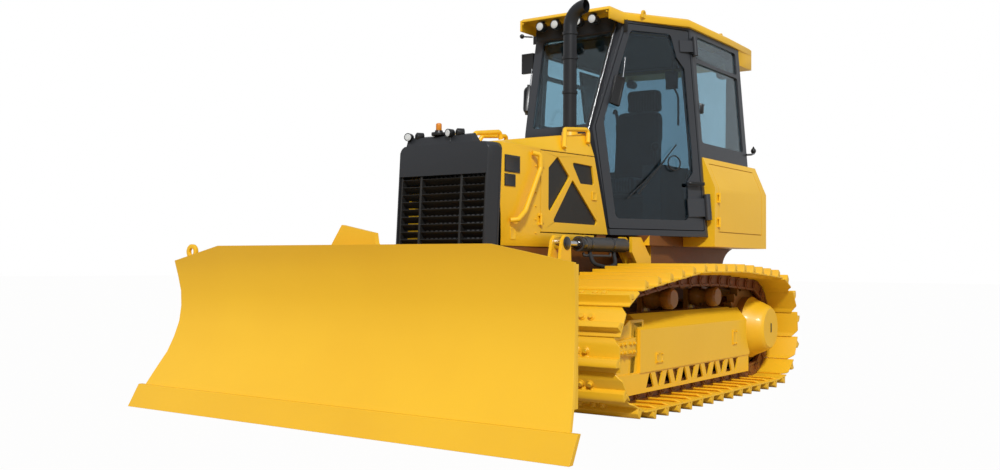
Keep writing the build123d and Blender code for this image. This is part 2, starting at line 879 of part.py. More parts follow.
with BuildPart() as door_mesh_left:
    with BuildSketch(along(hood_half - hood_sheet - 4)):
        with BuildLine():
            Polyline((-600, 1160), (150, 1160), (76, 1668), (-600, 1668), close=True)
        make_face()
    extrude(amount=4)
write(door_mesh_left, "door_mesh_left")
write_mirrored(door_mesh_left, "door_mesh_right")

# exhaust stack
with BuildPart() as exhaust_stack:
    with BuildLine() as exhaust_path:
        l1 = Line((exhaust_x, exhaust_y, exhaust_foot_z), (exhaust_x, exhaust_y, exhaust_bend_z))
        l2 = TangentArc((exhaust_x, exhaust_y, exhaust_bend_z),
                        (exhaust_x + exhaust_bend_r, exhaust_y, exhaust_bend_z + exhaust_bend_r), tangent=l1 % 1)
    with BuildSketch(Plane(origin=l1 @ 0, z_dir=l1 % 0)):
        Circle(exhaust_r)
        Circle(exhaust_r - 4, mode=Mode.SUBTRACT)
    sweep()
write(exhaust_stack, "exhaust_stack")

# handrails on the hood, bent from tube
rail_r = 16.0
top_rail = [(165, -1078, 1707), (165, -1066, 1762), (165, -790, 1800), (165, -778, 1751)]
rear_rail = [(398, -355, 1722), (354, -275, 1862), (352, 50, 1896), (376.5, 6, 1793)]
side_rail = [(hood_half + rail_r - 3.2, -759, 1650), (440, -715, 1640), (440, -714, 1551), (440, -891, 1263),
             (440, -969, 1206), (hood_half + rail_r - 3.8, -1009, 1200)]
with BuildPart() as grab_rails:
    for route in (top_rail, rear_rail, side_rail):
        with BuildLine() as rail_path:
            rail_line = FilletPolyline(*route, radius=26)
        with BuildSketch(Plane(origin=rail_line @ 0, z_dir=rail_line % 0)):
            Circle(rail_r)
        sweep(path=rail_line)
    mirror(about=Plane.YZ)
write(grab_rails, "grab_rails")

# round work lamps in the visor's pocket and under the roof's rear box
lamp_r = 36.0
# x, y of the lens, z, y of the stem, what the stem hangs from
lamp_table = [(x, roof_front_y + 38, 2772.0, roof_front_y + 64, roof_top_z - 24) for x in (-232, -100, 100, 232)]
lamp_table += [(x, roof_rear_y - 60, roof_box_z - 46, roof_rear_y - 92, roof_box_z) for x in (-430, 430)]
with BuildPart() as work_lamps:
    for x, lens_y, z, stem_y, hung_z in lamp_table:
        with BuildSketch(across(max(lens_y, lens_y + 54 * (lens_y < 1000)))):
            with Locations((x, z)):
                Circle(lamp_r)
        extrude(amount=54)
        with BuildSketch(level(z)):
            with Locations((x, stem_y)):
                Rectangle(16, 30)
        extrude(amount=hung_z - z)
write(work_lamps, "work_lamps")

with BuildPart() as cooler_top:
    with BuildSketch(along(cooler_right)):
        with BuildLine():
            Polyline((-1185, guard_top_z), (-1165, cooler_z - 15), (-1110, cooler_z), (-1096, guard_top_z),
                     close=True)
        make_face()
    extrude(amount=cooler_left - cooler_right)
    with BuildSketch(across(0)):
        with BuildLine():
            Polyline((cooler_left - 34, cooler_z), (cooler_left + 1, cooler_z), (cooler_left + 1, guard_top_z + 8),
                     close=True)
        make_face()
    extrude(amount=1300, mode=Mode.SUBTRACT)
write(cooler_top, "cooler_top")


# ---------------------------------------------------------------- cab
def cab_corner_a(z):
    drop = cab_top_z - z
    y = pillar_a_y - screen_lean * drop
    x = pillar_b_x + cab_lean * drop - (pillar_b_y - y) * door_slope
    return (x, y)


def cab_side_x(z):
    return pillar_b_x + cab_lean * (cab_top_z - z)


def cab_section(z, inset):
    with BuildSketch(level(z)) as section:
        a = cab_corner_a(z)
        b = (cab_side_x(z), pillar_b_y)
        c = (cab_side_x(z), cab_rear_y)
        with BuildLine():
            Polyline(a, b, c, (-c[0], c[1]), (-b[0], b[1]), (-a[0], a[1]), close=True)
        make_face()
        if inset:
            offset(amount=-inset, kind=Kind.INTERSECTION)
    return section.sketch


firewall_dir = Vector(0, -firewall_slope, 1).normalized()
firewall_y = cab_corner_a(kink_z)[1]
firewall = Plane(origin=(0, firewall_y, kink_z), x_dir=(1, 0, 0), z_dir=(0, -1, -firewall_slope))
wall_in = Plane(origin=(0, firewall_y + cab_wall, kink_z), x_dir=(1, 0, 0), z_dir=(0, -1, -firewall_slope))
hinge_dir = Vector(-cab_lean, 0, 1).normalized()
door_normal = Vector(1, -door_slope, cab_lean).normalized()
door_plane = Plane(origin=(pillar_b_x, pillar_b_y, cab_top_z), x_dir=(door_slope, 1, 0), z_dir=door_normal)
screen_dir = Vector(0, screen_lean, 1).normalized()
screen_plane = Plane(origin=(0, pillar_a_y, cab_top_z), x_dir=(1, 0, 0), z_dir=(0, -1, screen_lean))
side_normal = Vector(1, 0, cab_lean).normalized()
side_plane = Plane(origin=(pillar_b_x, pillar_b_y, cab_top_z), x_dir=(0, 1, 0), z_dir=side_normal)

def outline(*corners):
    """Corners in a cab panel's own plane: along, then how far down as a share of the cab's height."""
    return [(along, -share * cab_height) for along, share in corners]


# from the top of the B pillar
door_outline = outline((-22, 0.0153), (-591, 0.0153), (-898, 0.511), (-812, 0.972), (48, 0.972))
door_glass_outline = outline((-190, 0.0403), (-556, 0.0452), (-826, 0.4804), (-752, 0.9267), (-92, 0.9267),
                             (-86, 0.738), (-34, 0.70), (-36, 0.59), (-70, 0.2023), (-140, 0.1522))
side_upper_outline = outline((62, 0.1418), (900, 0.1418), (900, 0.0281), (62, 0.0281))
side_lower_outline = outline((62, 0.5501), (900, 0.5501), (900, 0.1602), (62, 0.1602))
# from the middle of the screen's top
screen_outline = outline((-312, 0.0587), (312, 0.0587), (238, 0.533), (-238, 0.533))
rear_outline = (1180, 0.55 * cab_height, cab_floor_z + 0.6632 * cab_height)


def panel(plane, corners, depth, radius):
    """A flat piece with rounded corners that reaches depth behind its plane."""
    with BuildPart(mode=Mode.PRIVATE) as piece:
        with BuildSketch(plane) as face:
            with BuildLine():
                Polyline(*corners, close=True)
            make_face()
            fillet(face.vertices(), radius)
        extrude(amount=-depth)
    return piece.part


def grown(corners, amount):
    with BuildSketch() as face:
        with BuildLine():
            Polyline(*corners, close=True)
        make_face()
        offset(amount=amount, kind=Kind.INTERSECTION)
    return [(v.X, v.Y) for v in face.sketch.faces()[0].outer_wire().vertices()]


cab_hinge_out = 30.0
cab_hinge_behind = 12.0
# down the pillar, the sleeve's length, the leaf's reach, the pin's radius
cab_hinge_sizes = ((150.0, 90.0, 130.0, 10.0), (1415.0, 140.0, 170.0, 13.0))
hinge_across = hinge_dir.cross(door_normal).normalized()


def cab_hinge_plane(drop):
    corner = Vector(pillar_b_x, pillar_b_y, cab_top_z)
    origin = corner - hinge_dir * drop + hinge_across * cab_hinge_behind + door_normal * cab_hinge_out
    return Plane(origin=origin, x_dir=hinge_across, z_dir=door_normal)


cab_hinges = [
    hinge(cab_hinge_plane(drop), sleeve, 30, 16, cab_hinge_out + 16, 26 + cab_hinge_behind, reach,
          cab_hinge_out, pin_r)
    for drop, sleeve, reach, pin_r in cab_hinge_sizes
]

with BuildPart() as cab_void:
    add(cab_section(cab_floor_z + 60, cab_wall))
    add(cab_section(cab_top_z, cab_wall))
    loft(ruled=True)
    split(bisect_by=wall_in, keep=Keep.BOTTOM)

with BuildPart() as cab_frame:
    add(cab_section(cab_floor_z, 0))
    add(cab_section(cab_top_z, 0))
    loft(ruled=True)
    split(bisect_by=firewall, keep=Keep.BOTTOM)
    add(cab_void.part, mode=Mode.SUBTRACT)
    opening = panel(door_plane, grown(door_outline, gap), cab_wall + 30, 12)
    add(opening, mode=Mode.SUBTRACT)
    add(mirror(opening, about=Plane.YZ, mode=Mode.PRIVATE), mode=Mode.SUBTRACT)
    add(panel(screen_plane, screen_outline, cab_wall + 30, 30), mode=Mode.SUBTRACT)
    for corners in (side_upper_outline, side_lower_outline):
        window = panel(side_plane, corners, cab_wall + 30, 30)
        add(window, mode=Mode.SUBTRACT)
        add(mirror(window, about=Plane.YZ, mode=Mode.PRIVATE), mode=Mode.SUBTRACT)
    with BuildSketch(across(cab_rear_y)):
        with Locations((0, rear_outline[2])):
            RectangleRounded(rear_outline[0], rear_outline[1], 40)
    extrude(amount=cab_wall + 30, mode=Mode.SUBTRACT)
    for pin, leaf in cab_hinges:
        add(pin)
        add(mirror(pin, about=Plane.YZ, mode=Mode.PRIVATE))
write(cab_frame, "cab_frame")

with BuildPart() as cab_glass:
    add(panel(screen_plane.offset(-14), screen_outline, pane, 30))
    for corners in (side_upper_outline, side_lower_outline):
        window = panel(side_plane.offset(-14), corners, pane, 30)
        add(window)
        add(mirror(window, about=Plane.YZ, mode=Mode.PRIVATE))
    with BuildSketch(across(cab_rear_y - 14)):
        with Locations((0, rear_outline[2])):
            RectangleRounded(rear_outline[0], rear_outline[1], 40)
    extrude(amount=pane)
write(cab_glass, "cab_glass")

with BuildPart() as cab_door_left:
    add(panel(door_plane, door_outline, cab_wall, 14))
    add(panel(door_plane, door_glass_outline, cab_wall, 40), mode=Mode.SUBTRACT)
    for pin, leaf in cab_hinges:
        add(leaf)
write(cab_door_left, "cab_door_left")
write_mirrored(cab_door_left, "cab_door_right")

with BuildPart() as door_glass_left:
    add(panel(door_plane.offset(-10), door_glass_outline, pane, 40))
write(door_glass_left, "door_glass_left")
write_mirrored(door_glass_left, "door_glass_right")

# roof: a shallow lid, a hollow visor over the screen, a lining in the cab and a deeper box at the rear
with BuildPart() as roof:
    with BuildSketch(level(cab_top_z)) as roof_plan:
        with BuildLine():
            Polyline(
                (roof_front_half, roof_front_y),
                (roof_front_half, pillar_a_y),
                (roof_wide_half, roof_wide_y),
                (roof_wide_half, roof_side_end_y),
                (roof_rear_half, roof_rear_y),
                (-roof_rear_half, roof_rear_y),
                (-roof_wide_half, roof_side_end_y),
                (-roof_wide_half, roof_wide_y),
                (-roof_front_half, pillar_a_y),
                (-roof_front_half, roof_front_y),
                close=True,
            )
        make_face()
    extrude(amount=roof_top_z - cab_top_z)
    chamfer(roof.faces().sort_by(Axis.Z)[-1].edges(), 16)
    # visor walls below the lid, and the pocket that the lamps stand in
    with BuildSketch(level(visor_low_z)):
        with Locations((0, roof_front_y)):
            Rectangle(2 * roof_front_half, visor_depth, align=(Align.CENTER, Align.MIN))
    extrude(amount=cab_top_z - visor_low_z)
    with BuildSketch(level(visor_low_z)):
        with Locations((0, roof_front_y + visor_wall)):
            Rectangle(2 * (roof_front_half - visor_wall), visor_depth - visor_wall + 1,
                      align=(Align.CENTER, Align.MIN))
    extrude(amount=roof_top_z - 24 - visor_low_z, mode=Mode.SUBTRACT)
    # lining
    add(extrude(cab_section(cab_top_z, cab_wall + 1), amount=-lining, mode=Mode.PRIVATE))
    with BuildSketch(level(cab_top_z)):
        with Locations((0, (cab_rear_y + 10 + roof_rear_y) / 2)):
            Rectangle(2 * roof_rear_half, roof_rear_y - cab_rear_y - 10)
    extrude(amount=roof_box_z - cab_top_z)
    # lifting eyes
    for x, y in ((490, 640), (667, 1699)):
        for side in (-1, 1):
            with BuildSketch(along(side * x - 7)):
                with Locations((y, roof_top_z - 6)):
                    Circle(30)
                    Circle(14, mode=Mode.SUBTRACT)
                with Locations((y, roof_top_z - 21)):
                    Rectangle(60, 30)
            extrude(amount=14)
write(roof, "roof")

# seat, console and levers
with BuildPart() as seat:
    with Locations((0, 1260, cab_floor_z + 60)):
        Box(300, 320, 300, align=(Align.CENTER, Align.CENTER, Align.MIN))
    with Locations((0, 1240, cab_floor_z + 360)):
        Box(500, 500, 130, align=(Align.CENTER, Align.CENTER, Align.MIN))
    with Locations((0, 1520, cab_floor_z + 440)):
        Box(440, 120, 670, align=(Align.CENTER, Align.CENTER, Align.MIN), rotation=(-8, 0, 0))
    with Locations((0, 1610, cab_floor_z + 1090)):
        Box(300, 90, 196, align=(Align.CENTER, Align.CENTER, Align.MIN), rotation=(-8, 0, 0))
write(seat, "seat")

with BuildPart() as console:
    with Locations((0, 450, cab_floor_z + 60)):
        Box(420, 200, 640, align=(Align.CENTER, Align.CENTER, Align.MIN))
    with Locations((370, 1250, cab_floor_z + 60), (-370, 1250, cab_floor_z + 60)):
        Box(160, 460, 520, align=(Align.CENTER, Align.CENTER, Align.MIN))
write(console, "console")

with BuildPart() as control_levers:
    with Locations((370, 1080, cab_floor_z + 580), (-370, 1080, cab_floor_z + 580)):
        Cylinder(14, 150, align=(Align.CENTER, Align.CENTER, Align.MIN))
    with Locations((370, 1080, cab_floor_z + 730), (-370, 1080, cab_floor_z + 730)):
        Sphere(34)
write(control_levers, "control_levers")

# rear side boxes, close to the cab's leaning wall, each with a bent door set flush in its side
box_door_front_y = 1160.0
box_door_rear_y = 2062.0
box_door_low_z = 1188.0
box_door_high_z = 1716.0
box_hinges = [panel_hinge(box_out, box_door_front_y, z, panel_hinge_out) for z in (1260, 1450)]


def box_skin(low_z, high_z, inner, outer):
    """Section of a bent panel along a box's side: inner and outer are depths inside the side."""
    def side_x(z):
        return box_out - max(0, z - box_shoulder_z) * (box_out - box_top_x) / (box_top_z - box_shoulder_z)
    levels = (low_z, box_shoulder_z, high_z)
    return [(side_x(z) - outer, z) for z in levels] + [(side_x(z) - inner, z) for z in reversed(levels)]


box_top_x = cab_side_x(box_top_z) + 8
with BuildPart() as side_boxes:
    with BuildSketch(across(box_rear_y)):
        with BuildLine():
            Polyline(
                (deck_half, box_bottom_z),
                (box_out, box_bottom_z),
                (box_out, box_shoulder_z),
                (box_top_x, box_top_z),
                (cab_side_x(box_top_z), box_top_z),
                (cab_side_x(cab_floor_z), cab_floor_z),
                (deck_half, cab_floor_z),
                close=True,
            )
        make_face()
    extrude(amount=box_rear_y - box_front_y)
    # the door's seat
    with BuildSketch(across(box_door_rear_y + gap)):
        with BuildLine():
            Polyline(*box_skin(box_door_low_z - gap, box_door_high_z + gap, box_door + 3, -1), close=True)
        make_face()
    extrude(amount=box_door_rear_y - box_door_front_y + 2 * gap, mode=Mode.SUBTRACT)
    for pin, leaf in box_hinges:
        add(pin)
    mirror(about=Plane.YZ)
write(side_boxes, "side_boxes")

with BuildPart() as box_door_left:
    with BuildSketch(across(box_door_rear_y)):
        with BuildLine():
            Polyline(*box_skin(box_door_low_z, box_door_high_z, box_door, 0), close=True)
        make_face()
    extrude(amount=box_door_rear_y - box_door_front_y)
    for pin, leaf in box_hinges:
        add(leaf)
write(box_door_left, "box_door_left")
write_mirrored(box_door_left, "box_door_right")

# ---------------------------------------------------------------- push frame
with BuildPart() as c_frame:
    # side arms, each with an upright for its lift cylinder
    with BuildSketch(along(arm_x - arm_width / 2)):
        with BuildLine():
            Polyline(
                (pivot_y, pivot_z + 62),
                (-330, pivot_z + 90),
                (lift_eye_y + 60, lift_eye_z - 150),
                (lift_eye_y + 52, lift_eye_z + 20),
                (lift_eye_y + 20, lift_eye_z + 52),
                (lift_eye_y - 20, lift_eye_z + 52),
                (lift_eye_y - 52, lift_eye_z + 20),
                (lift_eye_y - 90, lift_eye_z - 150),
                (-900, 620),
                (nose_y + 60, 560),
                (nose_y, 520),
                (nose_y, 330),
                (-900, 400),
                (pivot_y - 62, pivot_z - 62),
                (pivot_y, pivot_z - 62),
                close=True,
            )
        make_face()
        with Locations((pivot_y, pivot_z)):
            Circle(62)
            Circle(32 + 0.06, mode=Mode.SUBTRACT)
    extrude(amount=arm_width)
    # slot of the rod's eye between the upright's two plates
    with BuildSketch(along(arm_x - 28)):
        with Locations((lift_eye_y, lift_eye_z + 20)):
            Rectangle(260, 240)
    extrude(amount=56, mode=Mode.SUBTRACT)
    # lugs of the angle cylinder
    with BuildSketch(level(angle_z + 32)):
        with Locations((angle_pin_x, angle_pin_y)):
            Circle(44)
        with Locations((angle_pin_x, angle_pin_y + 60)):
            Rectangle(88, 120)
    extrude(amount=20)
    with BuildSketch(level(angle_z - 52)):
        with Locations((angle_pin_x, angle_pin_y)):
            Circle(44)
        with Locations((angle_pin_x, angle_pin_y + 60)):
            Rectangle(88, 120)
    extrude(amount=20)
    with BuildSketch(level(angle_z - 120)):
        with Locations((angle_pin_x, angle_pin_y + 95)):
            Rectangle(88, 50)
    extrude(amount=172)
    with BuildSketch(level(angle_z - 60)):
        with Locations((angle_pin_x, angle_pin_y)):
            Circle(20)
    extrude(amount=112)
    mirror(about=Plane.YZ)
    # nose: cross member and the socket's box
    with BuildSketch(along(-arm_x)):
        with BuildLine():
            Polyline((nose_y, 330), (nose_y + 190, 330), (nose_y + 190, 560), (nose_y, 520), close=True)
        make_face()
    extrude(amount=2 * arm_x)
    with BuildSketch(level(335)):
        with BuildLine():
            Polyline((-260, nose_y + 10), (260, nose_y + 10), (110, ball_y + 120), (-110, ball_y + 120), close=True)
        make_face()
    extrude(amount=185)
    with BuildSketch(level(ball_z - 95)):
        with Locations((0, ball_y)):
            Circle(100)
            Circle(52.06, mode=Mode.SUBTRACT)
        with Locations((0, ball_y + 110)):
            Rectangle(220, 80)
            with Locations((0, -110)):
                Circle(52.06, mode=Mode.SUBTRACT)
    extrude(amount=60)
    with BuildSketch(level(ball_z + 35)):
        with Locations((0, ball_y)):
            Circle(100)
            Circle(52.06, mode=Mode.SUBTRACT)
        with Locations((0, ball_y + 110)):
            Rectangle(220, 80)
    extrude(amount=60)
write(c_frame, "c_frame")

# centre yoke: turns about an upright pin, and carries the tilt pivot and the tilt tower
with BuildPart() as yoke:
    with BuildSketch(level(ball_z - 110)):
        with Locations((0, ball_y)):
            Circle(52)
    extrude(amount=220)
    with BuildSketch(level(ball_z + 110)):
        with Locations((0, ball_y)):
            Circle(96)
    extrude(amount=-12)
    with BuildSketch(level(ball_z - 30)):
        with Locations((0, ball_y - 60)):
            Rectangle(130, 150)
    extrude(amount=60)
    # tilt trunnion along the machine
    with BuildSketch(across(ball_y - 120)):
        with Locations((0, ball_z)):
            Circle(90)
    extrude(amount=24)
    with BuildSketch(across(ball_y - 144)):
        with Locations((0, ball_z)):
            Circle(48)
    extrude(amount=100)
    # beam behind the blade with the lugs of the angle cylinders
    with BuildSketch(level(angle_z - 60)):
        with Locations((0, yoke_beam_y + 14)):
            Rectangle(2 * (angle_eye_x + 46), 28)
    extrude(amount=120)
    with BuildSketch(level(angle_z - 60)):
        with Locations((0, (yoke_beam_y + 20 + ball_y) / 2)):
            Rectangle(120, ball_y - yoke_beam_y - 20)
    extrude(amount=90)
    for z in (angle_z - 52, angle_z + 32):
        with BuildSketch(level(z)):
            for x in (-angle_eye_x, angle_eye_x):
                with Locations((x, angle_eye_y)):
                    Circle(44)
                with Locations((x, (angle_eye_y + yoke_beam_y) / 2)):
                    Rectangle(88, angle_eye_y - yoke_beam_y)
        extrude(amount=20)
    with BuildSketch(across(yoke_beam_y + 20)):
        with Locations((0, (ball_z + angle_z) / 2)):
            Rectangle(150, angle_z - ball_z + 60)
    extrude(amount=20)
    # tower above the pin
    with BuildSketch(across(ball_y + 40)):
        with BuildLine():
            Polyline((-90, ball_z + 110), (90, ball_z + 110), (60, tilt_z - tilt_clear - 10), (-60, tilt_z - tilt_clear - 10),
                     close=True)
        make_face()
    extrude(amount=80)
    for y in (ball_y + 52, ball_y - 32):
        with BuildSketch(across(y)):
            with BuildLine():
                Polyline((-200, tilt_z - tilt_clear - 20), (60, tilt_z - tilt_clear - 20), (60, tilt_z - tilt_clear),
                         (-112, tilt_z - tilt_clear), (-112, tilt_z + 40), (-190, tilt_z + 40), (-200, tilt_z),
                         close=True)
            make_face()
        extrude(amount=20)
    with BuildSketch(across(ball_y + 52)):
        with Locations((tilt_pin_x, tilt_z)):
            Circle(20)
    extrude(amount=104)
    with BuildSketch(across(ball_y + 52)):
        with Locations((0, tilt_z - tilt_clear - 12)):
            Rectangle(120, 20)
    extrude(amount=104)
write(yoke, "yoke")

# ---------------------------------------------------------------- blade
# moldboard sections from the bottom up: height, y of the front face, how much narrower than the foot
blade_sections = [
    (137, -2232, 0),
    (245, -2168, 26),
    (343, -2111, 54),
    (441, -2074, 74),
    (539, -2047, 88),
    (637, -2035, 91),
    (735, -2038, 90),
    (833, -2057, 83),
    (931, -2080, 74),
]
blade_front = [(y, z) for z, y, waist in blade_sections]
with BuildPart() as blade:
    # rolled plate
    with BuildSketch(along(-blade_half)):
        with BuildLine():
            front = Polyline(*blade_front, (-2124, blade_top_z))
            Line(front @ 1, (-2124 + blade_plate, blade_top_z))
            Polyline((-2124 + blade_plate, blade_top_z), *[(y + blade_plate, z) for y, z in reversed(blade_front)])
            Line((blade_sections[0][1] + blade_plate, 137), front @ 0)
        make_face()
    extrude(amount=2 * blade_half)
    # outline from the front: waisted ends and sloping top corners
    with BuildSketch(across(-1700)) as blade_outline:
        with BuildLine():
            right_side = [(blade_half - waist, z) for z, y, waist in blade_sections]
            Polyline(*right_side, (blade_half - 550, blade_top_z), (550 - blade_half, blade_top_z),
                     *[(-half, z) for half, z in reversed(right_side)], close=True)
        make_face()
    extrude(amount=900, mode=Mode.INTERSECT)
    # box ribs behind
    for z in (200, 560, 900):
        with BuildSketch(level(z)):
            with Locations((0, -2060 + 85)):
                Rectangle(2 * (blade_half - 150), 130)
        extrude(amount=24)
    with BuildSketch(along(150 - blade_half)):
        with BuildLine():
            Polyline((-2020, 200), (-1905, 200), (-1905, 924), (-2030, 924), (-2012, 640), close=True)
        make_face()
    extrude(amount=24)
    with BuildSketch(along(blade_half - 150 - 24)):
        with BuildLine():
            Polyline((-2020, 200), (-1905, 200), (-1905, 924), (-2030, 924), (-2012, 640), close=True)
        make_face()
    extrude(amount=24)
    # lugs of the tilt trunnion and cylinders
    with BuildSketch(across(-1905)):
        with Locations((0, ball_z)):
            Circle(140)
            Circle(48.06, mode=Mode.SUBTRACT)
    extrude(amount=90)
    # centre hump over the tilt cylinder
    with BuildSketch(across(-1940)):
        with BuildLine():
            Polyline((-250, 900), (250, 900), (138, 1038), (128, 1095), (-131, 1145), (-210, 1034), close=True)
        make_face()
    extrude(amount=30)
    for y in (ball_y + 52, ball_y - 32):
        with BuildSketch(across(y)):
            with Locations((tilt_eye_x, tilt_z)):
                Circle(44)
            with Locations((tilt_eye_x + 50, tilt_z)):
                Rectangle(100, 88)
        extrude(amount=20)
    with BuildSketch(across(ball_y + 52)):
        with Locations((tilt_eye_x + 85, tilt_z)):
            Rectangle(30, 88)
    extrude(amount=240)
    with BuildSketch(across(ball_y + 52)):
        with Locations((tilt_eye_x, tilt_z)):
            Circle(20)
    extrude(amount=104)
write(blade, "blade")

with BuildPart() as cutting_edge:
    with BuildSketch(along(-edge_half)):
        with BuildLine():
            Polyline(
                (edge_front_y, 0),
                (edge_front_y + 34, 0),
                (edge_top_y + edge_plate, edge_top_z),
                (edge_top_y, edge_top_z),
                close=True,
            )
        make_face()
    extrude(amount=2 * edge_half)
write(cutting_edge, "cutting_edge")


# ---------------------------------------------------------------- cylinders
def cylinder_pair(pin, eye, bore_r, rod_r, gland, held, pin_r, across_dir):
    """Barrel and rod between two pins. gland is the barrel's length, held the rod's length in it."""
    pin = Vector(*pin)
    eye = Vector(*eye)
    run = (eye - pin).normalized()
    reach = (eye - pin).length
    with BuildPart(mode=Mode.PRIVATE) as barrel:
        with BuildSketch(Plane(origin=pin + run * barrel_start, z_dir=run)):
            Circle(bore_r)
        extrude(amount=gland - barrel_start)
        with BuildSketch(Plane(origin=pin + run * 30, z_dir=run)):
            Circle(24)
        extrude(amount=barrel_start - 22)
        with BuildSketch(Plane(origin=pin + run * (barrel_start + 18), z_dir=run)):
            Circle(rod_r + 0.5)
        extrude(amount=gland, mode=Mode.SUBTRACT)
        with BuildSketch(Plane(origin=pin - across_dir * 26, z_dir=across_dir)):
            Circle(42)
        extrude(amount=52)
        with BuildSketch(Plane(origin=pin - across_dir * 60, z_dir=across_dir)):
            Circle(pin_r + 0.06)
        extrude(amount=120, mode=Mode.SUBTRACT)
    with BuildPart(mode=Mode.PRIVATE) as rod:
        with BuildSketch(Plane(origin=eye - run * 30, z_dir=run)):
            Circle(rod_r)
        extrude(amount=-(reach - 30 - gland + held))
        with BuildSketch(Plane(origin=eye - across_dir * 26, z_dir=across_dir)):
            Circle(40)
        extrude(amount=52)
        with BuildSketch(Plane(origin=eye - across_dir * 60, z_dir=across_dir)):
            Circle(pin_r + 4)
        extrude(amount=120, mode=Mode.SUBTRACT)
    return barrel.part, rod.part


lift_barrel, lift_rod = cylinder_pair(
    (arm_x, lift_pin_y, lift_pin_z), (arm_x, lift_eye_y, lift_eye_z),
    lift_bore_r, lift_rod_r, lift_pin_y - lift_gland_y, 180, 22, Vector(1, 0, 0))
angle_barrel, angle_rod = cylinder_pair(
    (angle_pin_x, angle_pin_y, angle_z), (angle_eye_x, angle_eye_y, angle_z),
    angle_bore_r, angle_rod_r, 530, 247, 20, Vector(0, 0, 1))
tilt_barrel_body, tilt_rod_body = cylinder_pair(
    (tilt_pin_x, ball_y, tilt_z), (tilt_eye_x, ball_y, tilt_z),
    tilt_bore_r, tilt_rod_r, 430, 160, 20, Vector(0, 1, 0))

for name, solid in (("lift_barrel", lift_barrel), ("lift_rod", lift_rod),
                    ("angle_barrel", angle_barrel), ("angle_rod", angle_rod)):
    with BuildPart() as left:
        add(solid)
    write(left, f"{name}_left")
    write_mirrored(left, f"{name}_right")
with BuildPart() as tilt_barrel:
    add(tilt_barrel_body)
write(tilt_barrel, "tilt_barrel")
with BuildPart() as tilt_rod:
    add(tilt_rod_body)
write(tilt_rod, "tilt_rod")
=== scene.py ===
# %% [markdown]
# The machine is a crawler bulldozer: a welded hull between two steel tracks, a blade on a push
# frame, and a cab over the rear. Its solids come packed, at their real size in metres, and each
# one already rides on the body that moves it. This file gives them their finish and adds the
# small things that the solids leave out. Loading comes first, because every piece is placed in
# the solids' own frame.

# %% Load the solids
import math
import bmesh
import bpy
from mathutils import Matrix, Vector


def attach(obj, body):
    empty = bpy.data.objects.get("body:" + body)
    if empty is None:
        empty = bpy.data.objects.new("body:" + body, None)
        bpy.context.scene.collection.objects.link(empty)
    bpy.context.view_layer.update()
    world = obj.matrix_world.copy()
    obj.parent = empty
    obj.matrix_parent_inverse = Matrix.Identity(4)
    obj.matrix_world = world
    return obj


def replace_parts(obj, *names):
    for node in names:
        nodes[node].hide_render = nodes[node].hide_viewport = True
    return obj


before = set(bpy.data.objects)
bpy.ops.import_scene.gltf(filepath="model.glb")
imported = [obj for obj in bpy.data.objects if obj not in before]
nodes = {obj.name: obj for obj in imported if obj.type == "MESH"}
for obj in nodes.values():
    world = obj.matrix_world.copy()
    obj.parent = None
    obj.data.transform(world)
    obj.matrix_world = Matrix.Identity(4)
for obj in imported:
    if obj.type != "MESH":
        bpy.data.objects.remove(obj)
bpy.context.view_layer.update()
bpy.ops.object.select_all(action="DESELECT")

# %% [markdown]
# A normal lens at waist height, in front and to the machine's left, shows the blade, the left
# track and the cab's door at once. The camera looks slightly upwards and is turned by a fraction
# of a degree. Its axes are written as three vectors, which is easier to check than three angles.

# %% Camera
camera_place = (4.0925, -6.370, 0.9153)
view_line = Vector((-0.57462, 0.81790, 0.02932)).normalized()
level_right = view_line.cross(Vector((0, 0, 1))).normalized()
level_up = level_right.cross(view_line)
camera_roll = math.radians(0.397)
camera_right = level_right * math.cos(camera_roll) + level_up * math.sin(camera_roll)
camera_up = level_up * math.cos(camera_roll) - level_right * math.sin(camera_roll)
camera_data = bpy.data.cameras.new("camera")
camera_data.sensor_width = 36.0
camera_data.lens = 37.13
camera_data.clip_end = 200.0
camera = bpy.data.objects.new("camera", camera_data)
bpy.context.collection.objects.link(camera)
camera_turn = Matrix((camera_right, camera_up, -view_line)).transposed().to_4x4()
camera.matrix_world = Matrix.Translation(camera_place) @ camera_turn
bpy.context.scene.camera = camera
bpy.context.scene.view_settings.view_transform = "Standard"
print("camera at", [round(v, 2) for v in camera.location], "looking along",
      [round(v, 3) for v in view_line])

# %% [markdown]
# Materials are node trees, and a tree is quickest to read when each node takes one call. One
# helper adds a node with its settings, socket values and links. Colours are written as the sRGB
# hex values that a paint card gives, and one function turns them linear, as the shader needs.

# %% Colour and node helpers
def linear(hex_colour):
    """sRGB hex, such as #F0C040, to linear RGBA."""
    channels = [int(hex_colour[i:i + 2], 16) / 255 for i in (1, 3, 5)]
    return [c / 12.92 if c <= 0.04045 else ((c + 0.055) / 1.055) ** 2.4 for c in channels] + [1.0]


def add_node(tree, kind, settings=None, values=None, links=None):
    """Adds one node: its own settings, the values of its sockets, and what its sockets are fed by."""
    node = tree.nodes.new(kind)
    for name, value in (settings or {}).items():
        setattr(node, name, value)
    for name, value in (values or {}).items():
        node.inputs[name].default_value = value
    for name, source in (links or {}).items():
        tree.links.new(source, node.inputs[name])
    return node


def start_material(name, **values):
    """An empty tree with a Principled shader, returned with its Object coordinates."""
    material = bpy.data.materials.new(name)
    material.use_nodes = True
    tree = material.node_tree
    tree.nodes.clear()
    sockets = {name.replace("_", " "): value for name, value in values.items()}
    shader = add_node(tree, "ShaderNodeBsdfPrincipled", values=sockets)
    add_node(tree, "ShaderNodeOutputMaterial", links={"Surface": shader.outputs["BSDF"]})
    place = add_node(tree, "ShaderNodeTexCoord").outputs["Object"]
    return material, tree, shader, place


def per_metre(millimetres):
    """Texture scale that makes one cell this many millimetres wide."""
    return 1000.0 / millimetres


print("mid grey, linear:", [round(c, 3) for c in linear("#808080")[:3]])
